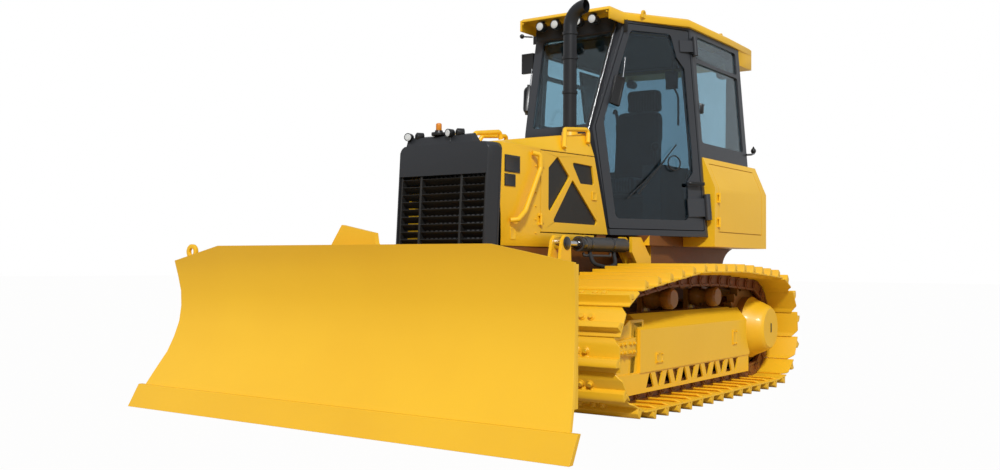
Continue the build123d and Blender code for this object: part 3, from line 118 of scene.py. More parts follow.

# %% [markdown]
# Most of the machine is sprayed with gloss polyurethane enamel over steel. Sprayed enamel is
# never quite even: the film has an orange peel a few millimetres across, which breaks up the
# highlights, and a machine that stands outdoors carries a thin film of dust near the ground. A
# function makes the enamels, because they differ only in colour, gloss and how much dust they
# carry. The three browns are painted shade: they give the chain, the hull and the rollers the
# colour that these take in shadow.

# %% Enamel paints
dust_top, dust_foot = 0.9, 0.05  # metres: the dust starts below the first and is full at the second
dust_colour = "#C79F50"


def enamel(name, colour, shade, roughness, coat, dust):
    """Sprayed enamel: colour drifting to shade, orange peel 4 mm across, and dust near the ground."""
    material, tree, shader, place = start_material(
        name, IOR=1.5, Coat_Weight=coat, Coat_Roughness=0.12)
    drift = add_node(tree, "ShaderNodeTexNoise", values={"Scale": per_metre(620), "Detail": 3.0},
                     links={"Vector": place})
    paint = add_node(tree, "ShaderNodeMix", {"data_type": "RGBA"},
                     {"A": linear(colour), "B": linear(shade)}, {"Factor": drift.outputs["Fac"]})
    height = add_node(tree, "ShaderNodeSeparateXYZ", links={"Vector": place})
    low = add_node(tree, "ShaderNodeMapRange",
                   values={"From Min": dust_top, "From Max": dust_foot, "To Min": 0.0, "To Max": dust},
                   links={"Value": height.outputs["Z"]})
    specks = add_node(tree, "ShaderNodeTexNoise",
                      values={"Scale": per_metre(45), "Detail": 6.0, "Roughness": 0.65},
                      links={"Vector": place})
    film = add_node(tree, "ShaderNodeMath", {"operation": "MULTIPLY"},
                    links={0: low.outputs["Result"], 1: specks.outputs["Fac"]})
    dusty = add_node(tree, "ShaderNodeMix", {"data_type": "RGBA"}, {"B": linear(dust_colour)},
                     {"Factor": film.outputs["Value"], "A": paint.outputs["Result"]})
    gloss = add_node(tree, "ShaderNodeMapRange",
                     values={"To Min": roughness - 0.05, "To Max": roughness + 0.07},
                     links={"Value": specks.outputs["Fac"]})
    peel = add_node(tree, "ShaderNodeTexNoise", values={"Scale": per_metre(4), "Detail": 1.0},
                    links={"Vector": place})
    relief = add_node(tree, "ShaderNodeBump", values={"Strength": 0.05, "Distance": 0.0004},
                      links={"Height": peel.outputs["Fac"]})
    tree.links.new(dusty.outputs["Result"], shader.inputs["Base Color"])
    tree.links.new(gloss.outputs["Result"], shader.inputs["Roughness"])
    tree.links.new(relief.outputs["Normal"], shader.inputs["Normal"])
    return material


machine_yellow = enamel("machine_yellow_enamel", "#F2BF1E", "#EBB519", 0.4, 0.1, 0.08)
track_yellow = enamel("track_yellow_enamel", "#EFBB1A", "#E4AE15", 0.45, 0.1, 0.1)
# The next three browns are painted shade, for the chain, the hull and the rollers in shadow.
chain_painted_shade = enamel("chain_brown_enamel", "#7E4312", "#5F300B", 0.5, 0.0, 0.1)
hull_painted_shade = enamel("hull_painted_shade_enamel", "#7E4912", "#64380E", 0.5, 0.0, 0.1)
roller_painted_shade = enamel("roller_painted_shade_enamel", "#96601A", "#7A4812", 0.45, 0.1, 0.1)
cab_charcoal = enamel("cab_charcoal_enamel", "#33363B", "#2B2E33", 0.4, 0.15, 0.05)
guard_charcoal = enamel("guard_charcoal_enamel", "#25272B", "#202226", 0.45, 0.1, 0.05)
louvre_black = enamel("louvre_black_enamel", "#232221", "#1B1B1A", 0.5, 0.0, 0.1)
cylinder_grey = enamel("cylinder_grey_enamel", "#3E3E3F", "#343536", 0.42, 0.1, 0.1)
print("enamels:", [m.name for m in bpy.data.materials if m.name.endswith("enamel")])

# %% [markdown]
# The bare and special surfaces are few. Rods are hard-chromed and ground, and a lamp's reflector
# is evaporated aluminium: both are mirror bright, and a little less so in patches. The exhaust
# wears a satin silicone paint. The engine block is cast iron under thin paint, with sand grain a
# millimetre or two across, and the radiator's core is rows of aluminium fins.
#
# Blender's Wave texture repeats every 2 pi / 20 of a unit at a scale of 1, so per_metre(n) / 20
# puts its bands 2 pi times n millimetres apart.

# %% Metals
def bright_metal(name, colour, patch, least, most):
    """Mirror-bright metal: roughness from least to most, in patches this many millimetres wide."""
    material, tree, shader, place = start_material(name, Base_Color=linear(colour), Metallic=1.0)
    patches = add_node(tree, "ShaderNodeTexNoise", values={"Scale": per_metre(patch)},
                       links={"Vector": place})
    gloss = add_node(tree, "ShaderNodeMapRange", values={"To Min": least, "To Max": most},
                     links={"Value": patches.outputs["Fac"]})
    tree.links.new(gloss.outputs["Result"], shader.inputs["Roughness"])
    return material


def cast_iron():
    """Sand-cast iron under thin paint: grain 2 mm across."""
    material, tree, shader, place = start_material("cast_iron", Roughness=0.72, IOR=1.5)
    grain = add_node(tree, "ShaderNodeTexNoise", values={"Scale": per_metre(2), "Detail": 4.0},
                     links={"Vector": place})
    tone = add_node(tree, "ShaderNodeMix", {"data_type": "RGBA"},
                    {"A": linear("#2B2D2E"), "B": linear("#3A3C3D")}, {"Factor": grain.outputs["Fac"]})
    relief = add_node(tree, "ShaderNodeBump", values={"Strength": 0.5, "Distance": 0.001},
                      links={"Height": grain.outputs["Fac"]})
    tree.links.new(tone.outputs["Result"], shader.inputs["Base Color"])
    tree.links.new(relief.outputs["Normal"], shader.inputs["Normal"])
    return material


def silicone_black():
    """Heat-proof silicone paint on steel tube: satin, a little greyer where it has run hot."""
    material, tree, shader, place = start_material("silicone_black_paint", Roughness=0.36, IOR=1.45)
    heat = add_node(tree, "ShaderNodeTexNoise", values={"Scale": per_metre(140), "Detail": 5.0},
                    links={"Vector": place})
    tone = add_node(tree, "ShaderNodeMix", {"data_type": "RGBA"},
                    {"A": linear("#141518"), "B": linear("#212327")}, {"Factor": heat.outputs["Fac"]})
    tree.links.new(tone.outputs["Result"], shader.inputs["Base Color"])
    return material


def fin_aluminium():
    """Radiator core: upright aluminium fins 2 mm apart, drawn at 38 mm, far coarser, so they show; the dark
    bands between them are painted shade.
    """
    material, tree, shader, place = start_material("fin_aluminium", Metallic=1.0, Roughness=0.45)
    fins = add_node(tree, "ShaderNodeTexWave", {"wave_type": "BANDS", "bands_direction": "X"},
                    {"Scale": per_metre(6) / 20, "Distortion": 0.0}, {"Vector": place})
    # The dark bands are painted shade in the gaps between the fins.
    tone = add_node(tree, "ShaderNodeMix", {"data_type": "RGBA"},
                    {"A": linear("#3A3B3C"), "B": linear("#8E9092")}, {"Factor": fins.outputs["Fac"]})
    relief = add_node(tree, "ShaderNodeBump", values={"Strength": 0.6, "Distance": 0.001},
                      links={"Height": fins.outputs["Fac"]})
    tree.links.new(tone.outputs["Result"], shader.inputs["Base Color"])
    tree.links.new(relief.outputs["Normal"], shader.inputs["Normal"])
    return material


rod_chrome = bright_metal("hard_chrome", "#D6D8DA", 3, 0.06, 0.14)
reflector_silver = bright_metal("vacuum_aluminium", "#DDE0E2", 12, 0.1, 0.2)
engine_iron = cast_iron()
exhaust_black = silicone_black()
core_aluminium = fin_aluminium()
print("metals:", [m.name for m in (rod_chrome, reflector_silver, engine_iron, exhaust_black,
                                   core_aluminium)])

# %% [markdown]
# The windows are laminated safety glass with a blue-grey tint, darker in the doors. A thin pane
# modelled as a closed slab refracts twice, so plain transmission without roughness is enough, and
# its waviness has no depth, because float glass is flat. Lamps have polycarbonate lenses: the
# solids' are clear with moulded ribs, and the ones seen have fine prisms that scatter the light.

# %% Glass and clear plastics
def clear_solid(name, colour, ior, roughness, rib, rib_depth):
    """Glass or clear plastic, with a waviness rib millimetres wide."""
    material, tree, shader, place = start_material(
        name, Base_Color=linear(colour), Roughness=roughness, IOR=ior, Transmission_Weight=1.0)
    wave = add_node(tree, "ShaderNodeTexNoise", values={"Scale": per_metre(rib), "Detail": 0.0},
                    links={"Vector": place})
    relief = add_node(tree, "ShaderNodeBump", values={"Strength": 0.1, "Distance": rib_depth},
                      links={"Height": wave.outputs["Fac"]})
    tree.links.new(relief.outputs["Normal"], shader.inputs["Normal"])
    return material


def prismatic_polycarbonate():
    """Lamp lens whose moulded prisms, 9 mm wide, scatter the light, so that it looks white."""
    material, tree, shader, place = start_material(
        "prismatic_polycarbonate", Base_Color=linear("#EEF1F1"), IOR=1.58, Transmission_Weight=0.25)
    prisms = add_node(tree, "ShaderNodeTexVoronoi", values={"Scale": per_metre(9)},
                      links={"Vector": place})
    gloss = add_node(tree, "ShaderNodeMapRange", values={"To Min": 0.08, "To Max": 0.25},
                     links={"Value": prisms.outputs["Distance"]})
    relief = add_node(tree, "ShaderNodeBump", values={"Strength": 0.5, "Distance": 0.002},
                      links={"Height": prisms.outputs["Distance"]})
    tree.links.new(gloss.outputs["Result"], shader.inputs["Roughness"])
    tree.links.new(relief.outputs["Normal"], shader.inputs["Normal"])
    return material


cab_glass = clear_solid("tinted_safety_glass", "#A9C6D2", 1.5, 0.0, 900, 0.0)
door_glass = clear_solid("dark_safety_glass", "#7C97A6", 1.5, 0.0, 900, 0.0)
lamp_lens = clear_solid("clear_polycarbonate", "#F2F5F6", 1.58, 0.03, 9, 0.002)
frosted_lens = prismatic_polycarbonate()
print("clear materials:", cab_glass.name, door_glass.name, lamp_lens.name, frosted_lens.name)

# %% [markdown]
# Inside the cab everything is moulded or woven. Mouldings are ABS with a leather-like grain under
# two millimetres wide. Rubber seals and hoses are EPDM, dead matt with a little bloom. The seat
# has a polyester weave, so its threads run over and under in two directions.

# %% Plastics, rubber and cloth
def grained(name, colour, shade, roughness, grain, depth):
    """Moulded plastic or rubber, with a grain this many millimetres wide."""
    material, tree, shader, place = start_material(name, Roughness=roughness, IOR=1.5)
    cells = add_node(tree, "ShaderNodeTexVoronoi", values={"Scale": per_metre(grain)},
                     links={"Vector": place})
    tone = add_node(tree, "ShaderNodeMix", {"data_type": "RGBA"},
                    {"A": linear(colour), "B": linear(shade)}, {"Factor": cells.outputs["Distance"]})
    relief = add_node(tree, "ShaderNodeBump", values={"Strength": 0.3, "Distance": depth},
                      links={"Height": cells.outputs["Distance"]})
    tree.links.new(tone.outputs["Result"], shader.inputs["Base Color"])
    tree.links.new(relief.outputs["Normal"], shader.inputs["Normal"])
    return material


def woven_polyester():
    """Seat cover: threads 1.2 mm apart, drawn at 25 mm, far coarser, so the weave shows; soft sheen."""
    material, tree, shader, place = start_material(
        "woven_polyester", Roughness=0.88, IOR=1.45, Sheen_Weight=0.35, Sheen_Roughness=0.4)
    warp = add_node(tree, "ShaderNodeTexWave", {"bands_direction": "X"},
                    {"Scale": per_metre(4) / 20, "Distortion": 0.6}, {"Vector": place})
    weft = add_node(tree, "ShaderNodeTexWave", {"bands_direction": "Y"},
                    {"Scale": per_metre(4) / 20, "Distortion": 0.6}, {"Vector": place})
    weave = add_node(tree, "ShaderNodeMath", {"operation": "MULTIPLY"},
                     links={0: warp.outputs["Fac"], 1: weft.outputs["Fac"]})
    tone = add_node(tree, "ShaderNodeMix", {"data_type": "RGBA"},
                    {"A": linear("#2A3033"), "B": linear("#4B5356")}, {"Factor": weave.outputs["Value"]})
    relief = add_node(tree, "ShaderNodeBump", values={"Strength": 0.25, "Distance": 0.0006},
                      links={"Height": weave.outputs["Value"]})
    tree.links.new(tone.outputs["Result"], shader.inputs["Base Color"])
    tree.links.new(relief.outputs["Normal"], shader.inputs["Normal"])
    return material


cab_plastic = grained("grained_abs", "#4C5254", "#3A3F41", 0.6, 1.6, 0.0004)
knob_plastic = grained("smooth_acetal", "#1B1C1D", "#151516", 0.32, 3.0, 0.0001)
seal_rubber = grained("epdm_rubber", "#1C1D1E", "#262728", 0.78, 2.2, 0.0003)
seat_cloth = woven_polyester()
print("soft materials:", cab_plastic.name, knob_plastic.name, seal_rubber.name, seat_cloth.name)

# %% [markdown]
# The solids have sharp edges and flat facets, and real steel plate has neither: a cut edge is
# dressed to a radius of a couple of millimetres, and it catches a thin highlight. Three modifiers
# give that without moving a point of a solid's own mesh. Weld joins its loose triangles, Bevel
# rounds the sharp edges, and Weighted Normal lets the flat faces keep their flat shading. Three
# solids have two finishes, so their faces are sorted by place, and the brown of each is painted
# shade: the hull is brown except at its ears and rear plate, which stay yellow, and the track
# frames' roller posts and the sprockets' teeth are brown, for how they look in shadow.

# %% Finish of the solids
MM = 0.001
EDGE = 2.5                # radius of a dressed plate's edge, in millimetres
LOOSE = 0.02              # corners of loose triangles nearer than this, in millimetres, are one
SHARP = math.radians(35)  # edges that turn by more than this are sharp


def add_bevel(piece, radius, segments=2, sharp=SHARP):
    """Modifier that rounds a piece's sharp edges by radius, in millimetres."""
    edge = piece.modifiers.new("edge", "BEVEL")
    edge.width = radius * MM
    edge.segments = segments
    edge.limit_method = "ANGLE"
    edge.angle_limit = sharp
    return edge


def dress(part, material, radius):
    """Gives a solid its material, and its edges their radius."""
    part.data.materials.clear()
    part.data.materials.append(material)
    part.data.polygons.foreach_set("use_smooth", [True] * len(part.data.polygons))
    part.modifiers.new("weld", "WELD").merge_threshold = LOOSE * MM
    if radius:
        add_bevel(part, radius).miter_outer = "MITER_ARC"
    part.modifiers.new("flat_faces", "WEIGHTED_NORMAL").keep_sharp = True


def second_finish(node, material, test):
    """Gives a solid's faces another material where their centre, in metres, and normal pass."""
    mesh = nodes[node].data
    mesh.materials.append(material)
    for face in mesh.polygons:
        face.material_index = 1 if test(face.center, face.normal) else 0


finishes = {
    machine_yellow: ("hood", "engine_door_left", "engine_door_right", "side_boxes", "box_door_left",
                     "box_door_right", "roof", "blade", "c_frame", "yoke", "track_frames",
                     "tilt_barrel", "angle_barrel_left", "angle_barrel_right", "drawbar",
                     "grab_rails"),
    track_yellow: ("track_left", "track_right", "sprockets", "idlers", "cutting_edge"),
    # The rollers' and the hull's browns are painted shade.
    roller_painted_shade: ("rollers",),
    hull_painted_shade: ("main_frame",),
    cab_charcoal: ("cab_frame", "cab_door_left", "cab_door_right"),
    guard_charcoal: ("front_guard", "cooler_top"),
    louvre_black: ("grille", "door_mesh_left", "door_mesh_right"),
    cylinder_grey: ("lift_barrel_left", "lift_barrel_right"),
    rod_chrome: ("lift_rod_left", "lift_rod_right", "angle_rod_left", "angle_rod_right", "tilt_rod"),
    engine_iron: ("engine",),
    exhaust_black: ("exhaust_stack",),
    core_aluminium: ("radiator",),
    cab_glass: ("cab_glass",),
    door_glass: ("door_glass_left", "door_glass_right"),
    cab_plastic: ("console", "seat"),
    knob_plastic: ("control_levers",),
    lamp_lens: ("work_lamps",),
}
unrounded = ("track_left", "track_right", "cab_glass", "door_glass_left", "door_glass_right",
             "radiator", "door_mesh_left", "door_mesh_right", "engine", "rollers")
for material, names in finishes.items():
    for name in names:
        dress(nodes[name], material, 0.0 if name in unrounded else EDGE)


def ear_or_tail(centre, normal):
    """The hull's ears, which hold the lift cylinders, and its rear plate, which stay yellow; the rest of the
    hull gets painted shade brown.
    """
    ear = 0.28 < centre.y < 0.75 and abs(centre.x) > 0.47 and centre.z > 0.8
    return ear or (centre.y > 1.9 and normal.y > 0.5)


# The track frames' roller posts and the sprockets' teeth get painted shade brown; so does the hull, apart
# from its ears and rear plate.
post_foot, post_front, post_back = 0.61, -0.2, 0.9  # the carrier rollers' posts
sprocket_face = 1.06                                # the teeth lie inside this, the hub outside
second_finish("main_frame", machine_yellow, ear_or_tail)
second_finish("track_frames", roller_painted_shade, lambda c, n: c.z > post_foot and post_front < c.y < post_back)
second_finish("sprockets", roller_painted_shade, lambda c, n: abs(c.x) < sprocket_face)
print("dressed:", sum(len(names) for names in finishes.values()), "of", len(nodes))

# %% [markdown]
# Small pieces are modelled as by hand: a primitive is placed at its size, shaped in edit mode,
# and finished with a bevel that is applied. A few helpers keep that short. One adds the primitive
# with its place already in its mesh, and leaves it in edit mode with nothing selected. Others
# select faces by their centre and normal, and inset them or push them out. One closes the piece:
# it leaves edit mode, points the normals outwards and rounds the edges.

# %% Modelling helpers
SIDES = ((-1, "right"), (1, "left"))
SAME_WAY = 0.9                # a face looks along a direction when its normal has this much of it
ACROSS = (0, math.pi / 2, 0)  # turns a cylinder's axis across the machine
ALONG = (math.pi / 2, 0, 0)   # turns a cylinder's axis along the machine


def select_only(*pieces):
    """Selects these pieces and nothing else. The first one becomes the active one."""
    bpy.ops.object.select_all(action="DESELECT")
    for piece in pieces:
        piece.select_set(True)
    bpy.context.view_layer.objects.active = pieces[0]


def start(name, kind, size, centre, turn=(0, 0, 0), sides=24):
    """A cube, cylinder or ball of that size at centre, in millimetres, in edit mode."""
    bpy.ops.object.select_all(action="DESELECT")
    place = {"location": [c * MM for c in centre], "rotation": turn, "scale": [s * MM for s in size]}
    if kind == "cube":
        bpy.ops.mesh.primitive_cube_add(size=1.0, **place)
    elif kind == "cylinder":
        bpy.ops.mesh.primitive_cylinder_add(vertices=sides, radius=0.5, depth=1.0, **place)
    else:
        bpy.ops.mesh.primitive_uv_sphere_add(segments=sides, ring_count=sides // 2, radius=0.5, **place)
    piece = bpy.context.object
    piece.name = piece.data.name = name
    bpy.ops.object.transform_apply()
    bpy.ops.object.mode_set(mode="EDIT")
    bpy.ops.mesh.select_mode(type="FACE")
    bpy.ops.mesh.select_all(action="DESELECT")
    return piece


def pick(piece, test):
    """Selects the faces whose centre, in millimetres, and normal pass the test."""
    mesh = bmesh.from_edit_mesh(piece.data)
    mesh.faces.ensure_lookup_table()
    mesh.normal_update()
    for face in mesh.faces:
        face.select_set(bool(test(face.calc_center_median() / MM, face.normal)))
    mesh.select_flush_mode()
    bmesh.update_edit_mesh(piece.data)


def pick_side(piece, *way):
    """Selects the faces that look that way, given as x, y and z."""
    pick(piece, lambda c, n: sum(a * b for a, b in zip(n, way)) > SAME_WAY)


def pick_ends(piece, axis):
    """Selects the faces at both ends along an axis, given as 0, 1 or 2."""
    pick(piece, lambda c, n: abs(n[axis]) > SAME_WAY)


def push(x, y, z):
    """Extrudes what is selected by that many millimetres."""
    bpy.ops.mesh.extrude_region_move(TRANSFORM_OT_translate={"value": (x * MM, y * MM, z * MM)})


def inset(rim):
    """Insets what is selected, and leaves a rim that many millimetres wide."""
    bpy.ops.mesh.inset(thickness=rim * MM)


def work_face(piece, way, rim, rise):
    """Insets the face that looks that way, and raises it, or sinks it by a rise below zero."""
    pick_side(piece, *way)
    inset(rim)
    push(*[w * rise for w in way])


def squeeze(x, y, z):
    """Scales what is selected about its own middle."""
    bpy.ops.transform.resize(value=(x, y, z))


def cut(point, normal, drop=False):
    """Bisects the whole mesh at a plane, in millimetres, and may drop what is beyond it."""
    bpy.ops.mesh.select_all(action="SELECT")
    bpy.ops.mesh.bisect(plane_co=[p * MM for p in point], plane_no=normal, use_fill=drop, clear_outer=drop)
    bpy.ops.mesh.select_all(action="DESELECT")


def clean(merge=0.01):
    """Merges what lies nearer than that many millimetres, and points the normals outwards."""
    bpy.ops.object.mode_set(mode="EDIT")
    bpy.ops.mesh.select_all(action="SELECT")
    if merge:
        bpy.ops.mesh.remove_doubles(threshold=merge * MM)
    bpy.ops.mesh.normals_make_consistent(inside=False)
    bpy.ops.object.mode_set(mode="OBJECT")


def close(piece, radius=1.5, segments=2):
    """Leaves edit mode with a clean mesh, and rounds its sharp edges by radius."""
    clean()
    if radius:
        add_bevel(piece, radius, segments, math.radians(30))
        bpy.ops.object.modifier_apply(modifier="edge")
    bpy.ops.object.shade_smooth_by_angle(angle=SHARP)
    return piece


print("helpers ready, one millimetre is", MM)

# %% [markdown]
# A finished piece may be joined, repeated or mirrored, and its place is then put into its mesh.
# The last helper gives it its material and ties it to what moves it.

# %% Joining, copying and finishing helpers
def joined(name, pieces):
    """Joins closed pieces into the first one, and puts its place into its mesh."""
    select_only(*pieces)
    if len(pieces) > 1:
        bpy.ops.object.join()
    pieces[0].name = pieces[0].data.name = name
    bpy.ops.object.transform_apply()
    bpy.ops.object.select_all(action="DESELECT")
    return pieces[0]


def copied(piece, place):
    """A copy with its own mesh, moved by a matrix."""
    twin = bpy.data.objects.new(piece.name, piece.data.copy())
    bpy.context.collection.objects.link(twin)
    twin.matrix_world = place
    return twin


def repeated(name, piece, places):
    """The piece copied to every place and joined; the pattern itself is removed."""
    twins = [copied(piece, place) for place in places]
    bpy.data.objects.remove(piece)
    return joined(name, twins)


def mirrored(piece, name):
    """The same piece on the other side of the machine."""
    twin = joined(name, [copied(piece, Matrix.Scale(-1, 4, (1, 0, 0)))])
    select_only(twin)
    clean(merge=0)
    bpy.ops.object.select_all(action="DESELECT")
    return twin


def moved(x, y, z):
    """Matrix that moves by millimetres."""
    return Matrix.Translation((x * MM, y * MM, z * MM))


def paint(piece, material, body="root", slot="yellow_paint"):
    """Gives a finished piece its material and ties it to its body; slot is not used."""
    if not piece.data.materials:
        piece.data.materials.append(material)
    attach(piece, body)
    return piece


moulded_black = (knob_plastic, "root", "dark_paint")
print("a black moulding is", moulded_black[0].name, "and rides on", moulded_black[1])

# %% [markdown]
# A crawler track is a chain of forged links with a pressed-steel shoe bolted on each. The shoe
# has one tall rib, the grouser, and its trailing edge is rolled down so that it slips under the
# next shoe and keeps stones out. The chain lies on a loop round four wheels: the idler in front,
# two small carrier rollers above, and the sprocket behind. So the loop is worked out first, as
# arcs and the straight tangents between them, and one link and one shoe are then copied along it.

# %% Pin line of the track
track_x = 966.0
nominal_pitch = 171.5
plate_low, plate_high = 58.0, 68.0  # the shoe's plate, outwards from the pins
grouser_height = 50.0
pin_z = plate_high + grouser_height
idler_r, sprocket_r, carrier_r = 300.0, 328.0, 119.0
sprocket_y, carrier_z = 1390.0, 699.0
carrier_places = (-30.0, 700.0)
wheels = [(-843.0, pin_z + idler_r, idler_r), (sprocket_y, pin_z + sprocket_r, sprocket_r),
          (carrier_places[1], carrier_z, carrier_r), (carrier_places[0], carrier_z, carrier_r)]


def tangent_angle(a, b):
    """Direction from each wheel's centre to where the outer tangent from a to b touches it."""
    length = math.hypot(b[0] - a[0], b[1] - a[1])
    return math.atan2(b[1] - a[1], b[0] - a[0]) - math.acos((a[2] - b[2]) / length)


runs = []
for i, wheel in enumerate(wheels):
    onward = wheels[(i + 1) % len(wheels)]
    arrive = tangent_angle(wheels[i - 1], wheel)
    leave = tangent_angle(wheel, onward)
    runs.append(("arc", wheel, arrive, (leave - arrive) % (2 * math.pi) * wheel[2]))
    apart = (onward[0] - wheel[0]) ** 2 + (onward[1] - wheel[1]) ** 2
    runs.append(("line", wheel, leave, math.sqrt(apart - (wheel[2] - onward[2]) ** 2)))
loop_length = sum(run[3] for run in runs)
link_count = round(loop_length / nominal_pitch)


def on_loop(distance):
    """Point of the pin line at a distance along it, as y and z."""
    for kind, wheel, angle, length in runs:
        if distance <= length:
            break
        distance -= length
    if kind == "arc":
        angle += distance / wheel[2]
        distance = 0.0
    y = wheel[0] + wheel[2] * math.cos(angle) - distance * math.sin(angle)
    z = wheel[1] + wheel[2] * math.sin(angle) + distance * math.cos(angle)
    return Vector((0.0, y, z))


first_share = 0.2  # of a pitch, so that a grouser stands just where the idler's bend ends
pins = [on_loop((i + first_share) * loop_length / link_count) for i in range(link_count)]
half_pitch = loop_length / link_count / 2
link_places = []
for i, pin in enumerate(pins):
    ahead = pins[(i + 1) % link_count]
    middle = (pin + ahead) / 2 * MM
    along_chain = (pin - ahead).normalized()
    outward = Vector((1, 0, 0)).cross(along_chain)
    turn = Matrix(((1, 0, 0), along_chain, outward)).transposed().to_4x4()
    link_places.append(Matrix.Translation(middle + Vector((track_x * MM, 0, 0))) @ turn)
print("links:", link_count, "pitch:", round(2 * half_pitch, 1), "mm, first pin:",
      [round(v) for v in pins[0]])

# %% [markdown]
# The shoe is rolled from one bar, so its section is the same over its whole width: a 10 mm plate,
# a grouser 50 mm high that narrows to its tip, and a lip that curls down behind. It is modelled
# from a flat block: cuts across it mark the grouser's foot, the strip between them is extruded
# up and squeezed, and the rear edge is extruded twice, downwards. Two corners are cut off. The
# heads of the bolts that hold it to the two link strands show between the grousers, in two rows.

# %% Track shoe
shoe_width, shoe_gap, corner_cut = 650.0, 6, 34
foot_front, foot_back, foot_height = 28 - half_pitch, 60 - half_pitch, 12
plate_middle = (plate_low + plate_high) / 2
shoe = start("shoe", "cube", (shoe_width, 2 * half_pitch - shoe_gap, plate_high - plate_low),
             (0, 0, plate_middle))
for y in (foot_front, foot_back):
    cut((0, y, 0), (0, 1, 0))
pick(shoe, lambda c, n: n.z > SAME_WAY and foot_front < c.y < foot_back)
for height in (foot_height, grouser_height - foot_height):
    push(0, 0, height)
    squeeze(1, 0.6, 1)
pick_side(shoe, 0, 1, 0)
push(0, 14, -7)
push(0, 20, -12)
for side, word in SIDES:
    cut((side * (shoe_width - corner_cut) / 2, half_pitch, 0), (side * 0.707, 0.707, 0), drop=True)
close(shoe, 2.0)
shoe_bolt = start("shoe_bolt", "cylinder", (46.0, 46.0, 6.0), (0, 0, plate_high + 3), sides=16)
work_face(shoe_bolt, (0, 0, 1), 6, 15)
squeeze(0.92, 0.92, 1)
close(shoe_bolt, 1.5, 1)
shoe_bolts = repeated("shoe_bolts", shoe_bolt,
                      [moved(x, y, 0) for y in (-12, 38) for x in (-108, -46, 46, 108)])
shoe = joined("shoe", [shoe, shoe_bolts])
print("shoe faces:", len(shoe.data.polygons))

# %% [markdown]
# Each link is a pair of forged strands. A strand has a round boss for the pin, a waist, and a
# flat pad that the shoe is bolted to. The bushing between the strands is a plain turned tube. The
# strand starts as a block whose waist is inset and pushed in from both sides, and its boss is a
# drum joined to it. The boss at its other end belongs to the next link.

# %% Chain link
strand_x = 77
strand = start("strand", "cube", (30.0, 2 * half_pitch - 30, 98.0), (strand_x, 0, 9.0))
for side, word in SIDES:
    work_face(strand, (side, 0, 0), 17, -9)
pick_side(strand, 0, 0, -1)
squeeze(1, 0.86, 1)
close(strand, 2.0)
boss = start("boss", "cylinder", (86.0, 86.0, 40.0), (strand_x, half_pitch, 0), ACROSS, 20)
work_face(boss, (1, 0, 0), 14, -5)
inset(5)
push(9, 0, 0)
close(boss, 2.0, 1)
bushing = start("bushing", "cylinder", (58.0, 58.0, 116.0), (0, half_pitch, 0), ACROSS, 18)
pick_ends(bushing, 0)
inset(6)
bpy.ops.mesh.delete(type="FACE")
close(bushing, 0)
link_half = joined("link_half", [strand, boss])
link = joined("link", [mirrored(link_half, "link_other"), link_half, bushing])
print("link faces:", len(link.data.polygons))

# %% [markdown]
# Both tracks are alike, so the right one's places are the left one's, moved across the machine.
# All shoes of a track make one piece and all its links another, which keeps the object short of
# hundreds of pieces, and together they stand for the track's solid.

# %% Both tracks
for side, word in reversed(SIDES):
    shift = Matrix.Translation(((side - 1) * track_x * MM, 0, 0))
    places = [shift @ place for place in link_places]
    shoes = joined("shoes_" + word, [copied(shoe, place) for place in places])
    chain = joined("chain_" + word, [copied(link, place) for place in places])
    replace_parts(paint(shoes, track_yellow, "root", "track_steel"), "track_" + word)
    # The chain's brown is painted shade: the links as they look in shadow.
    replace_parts(paint(chain, chain_painted_shade, "root", "track_steel"), "track_" + word)
    print(word, "track:", sum(len(p.data.polygons) for p in (shoes, chain)), "faces")
bpy.data.objects.remove(shoe)
bpy.data.objects.remove(link)

# %% [markdown]
# Three more helpers make the small fittings. A plate has a rim that stands proud of its field, a
# bolt is a hexagon on a washer, and a tube is a bent bar: its route is drawn as a line with
# rounded corners, given a round section, and turned into a mesh.

# %% Plates, bolts and tubes
def plate(name, size, centre, material, body="root", slot="yellow_paint", radius=2.0, field=0.0):
    """Flat fitting whose two large faces may be sunk by field, to leave a rim."""
    piece = start(name, "cube", size, (0, 0, 0))
    thin = min(range(3), key=lambda axis: size[axis])
    rim = min(s for axis, s in enumerate(size) if axis != thin) * 0.12
    for side in (-1, 1) if field else ():
        work_face(piece, [side if axis == thin else 0 for axis in range(3)], rim, -field)
    close(piece, min(radius, size[thin] * 0.3))
    piece.matrix_world = moved(*centre)
    return paint(joined(name, [piece]), material, body, slot)


def bolts(name, places, axis, material, body="root", slot="yellow_paint", size=24):
    """Hexagon bolt heads on washers at those places, all along one axis given as a vector."""
    turn = Vector(axis).to_track_quat("Z", "Y").to_matrix().to_4x4()
    washer = start("washer", "cylinder", (size * 1.4, size * 1.4, 4), (0, 0, 2), sides=14)
    work_face(washer, (0, 0, 1), size * 0.25, 1)
    close(washer, 0.5, 1)
    head = start("head", "cylinder", (size, size, size * 0.55), (0, 0, 4 + size * 0.27), sides=6)
    work_face(head, (0, 0, 1), size * 0.1, size * 0.05)
    close(head, 0.6, 1)
    pattern = joined("bolt", [washer, head])
    group = repeated(name, pattern, [moved(*place) @ turn for place in places])
    return paint(group, material, body, slot)


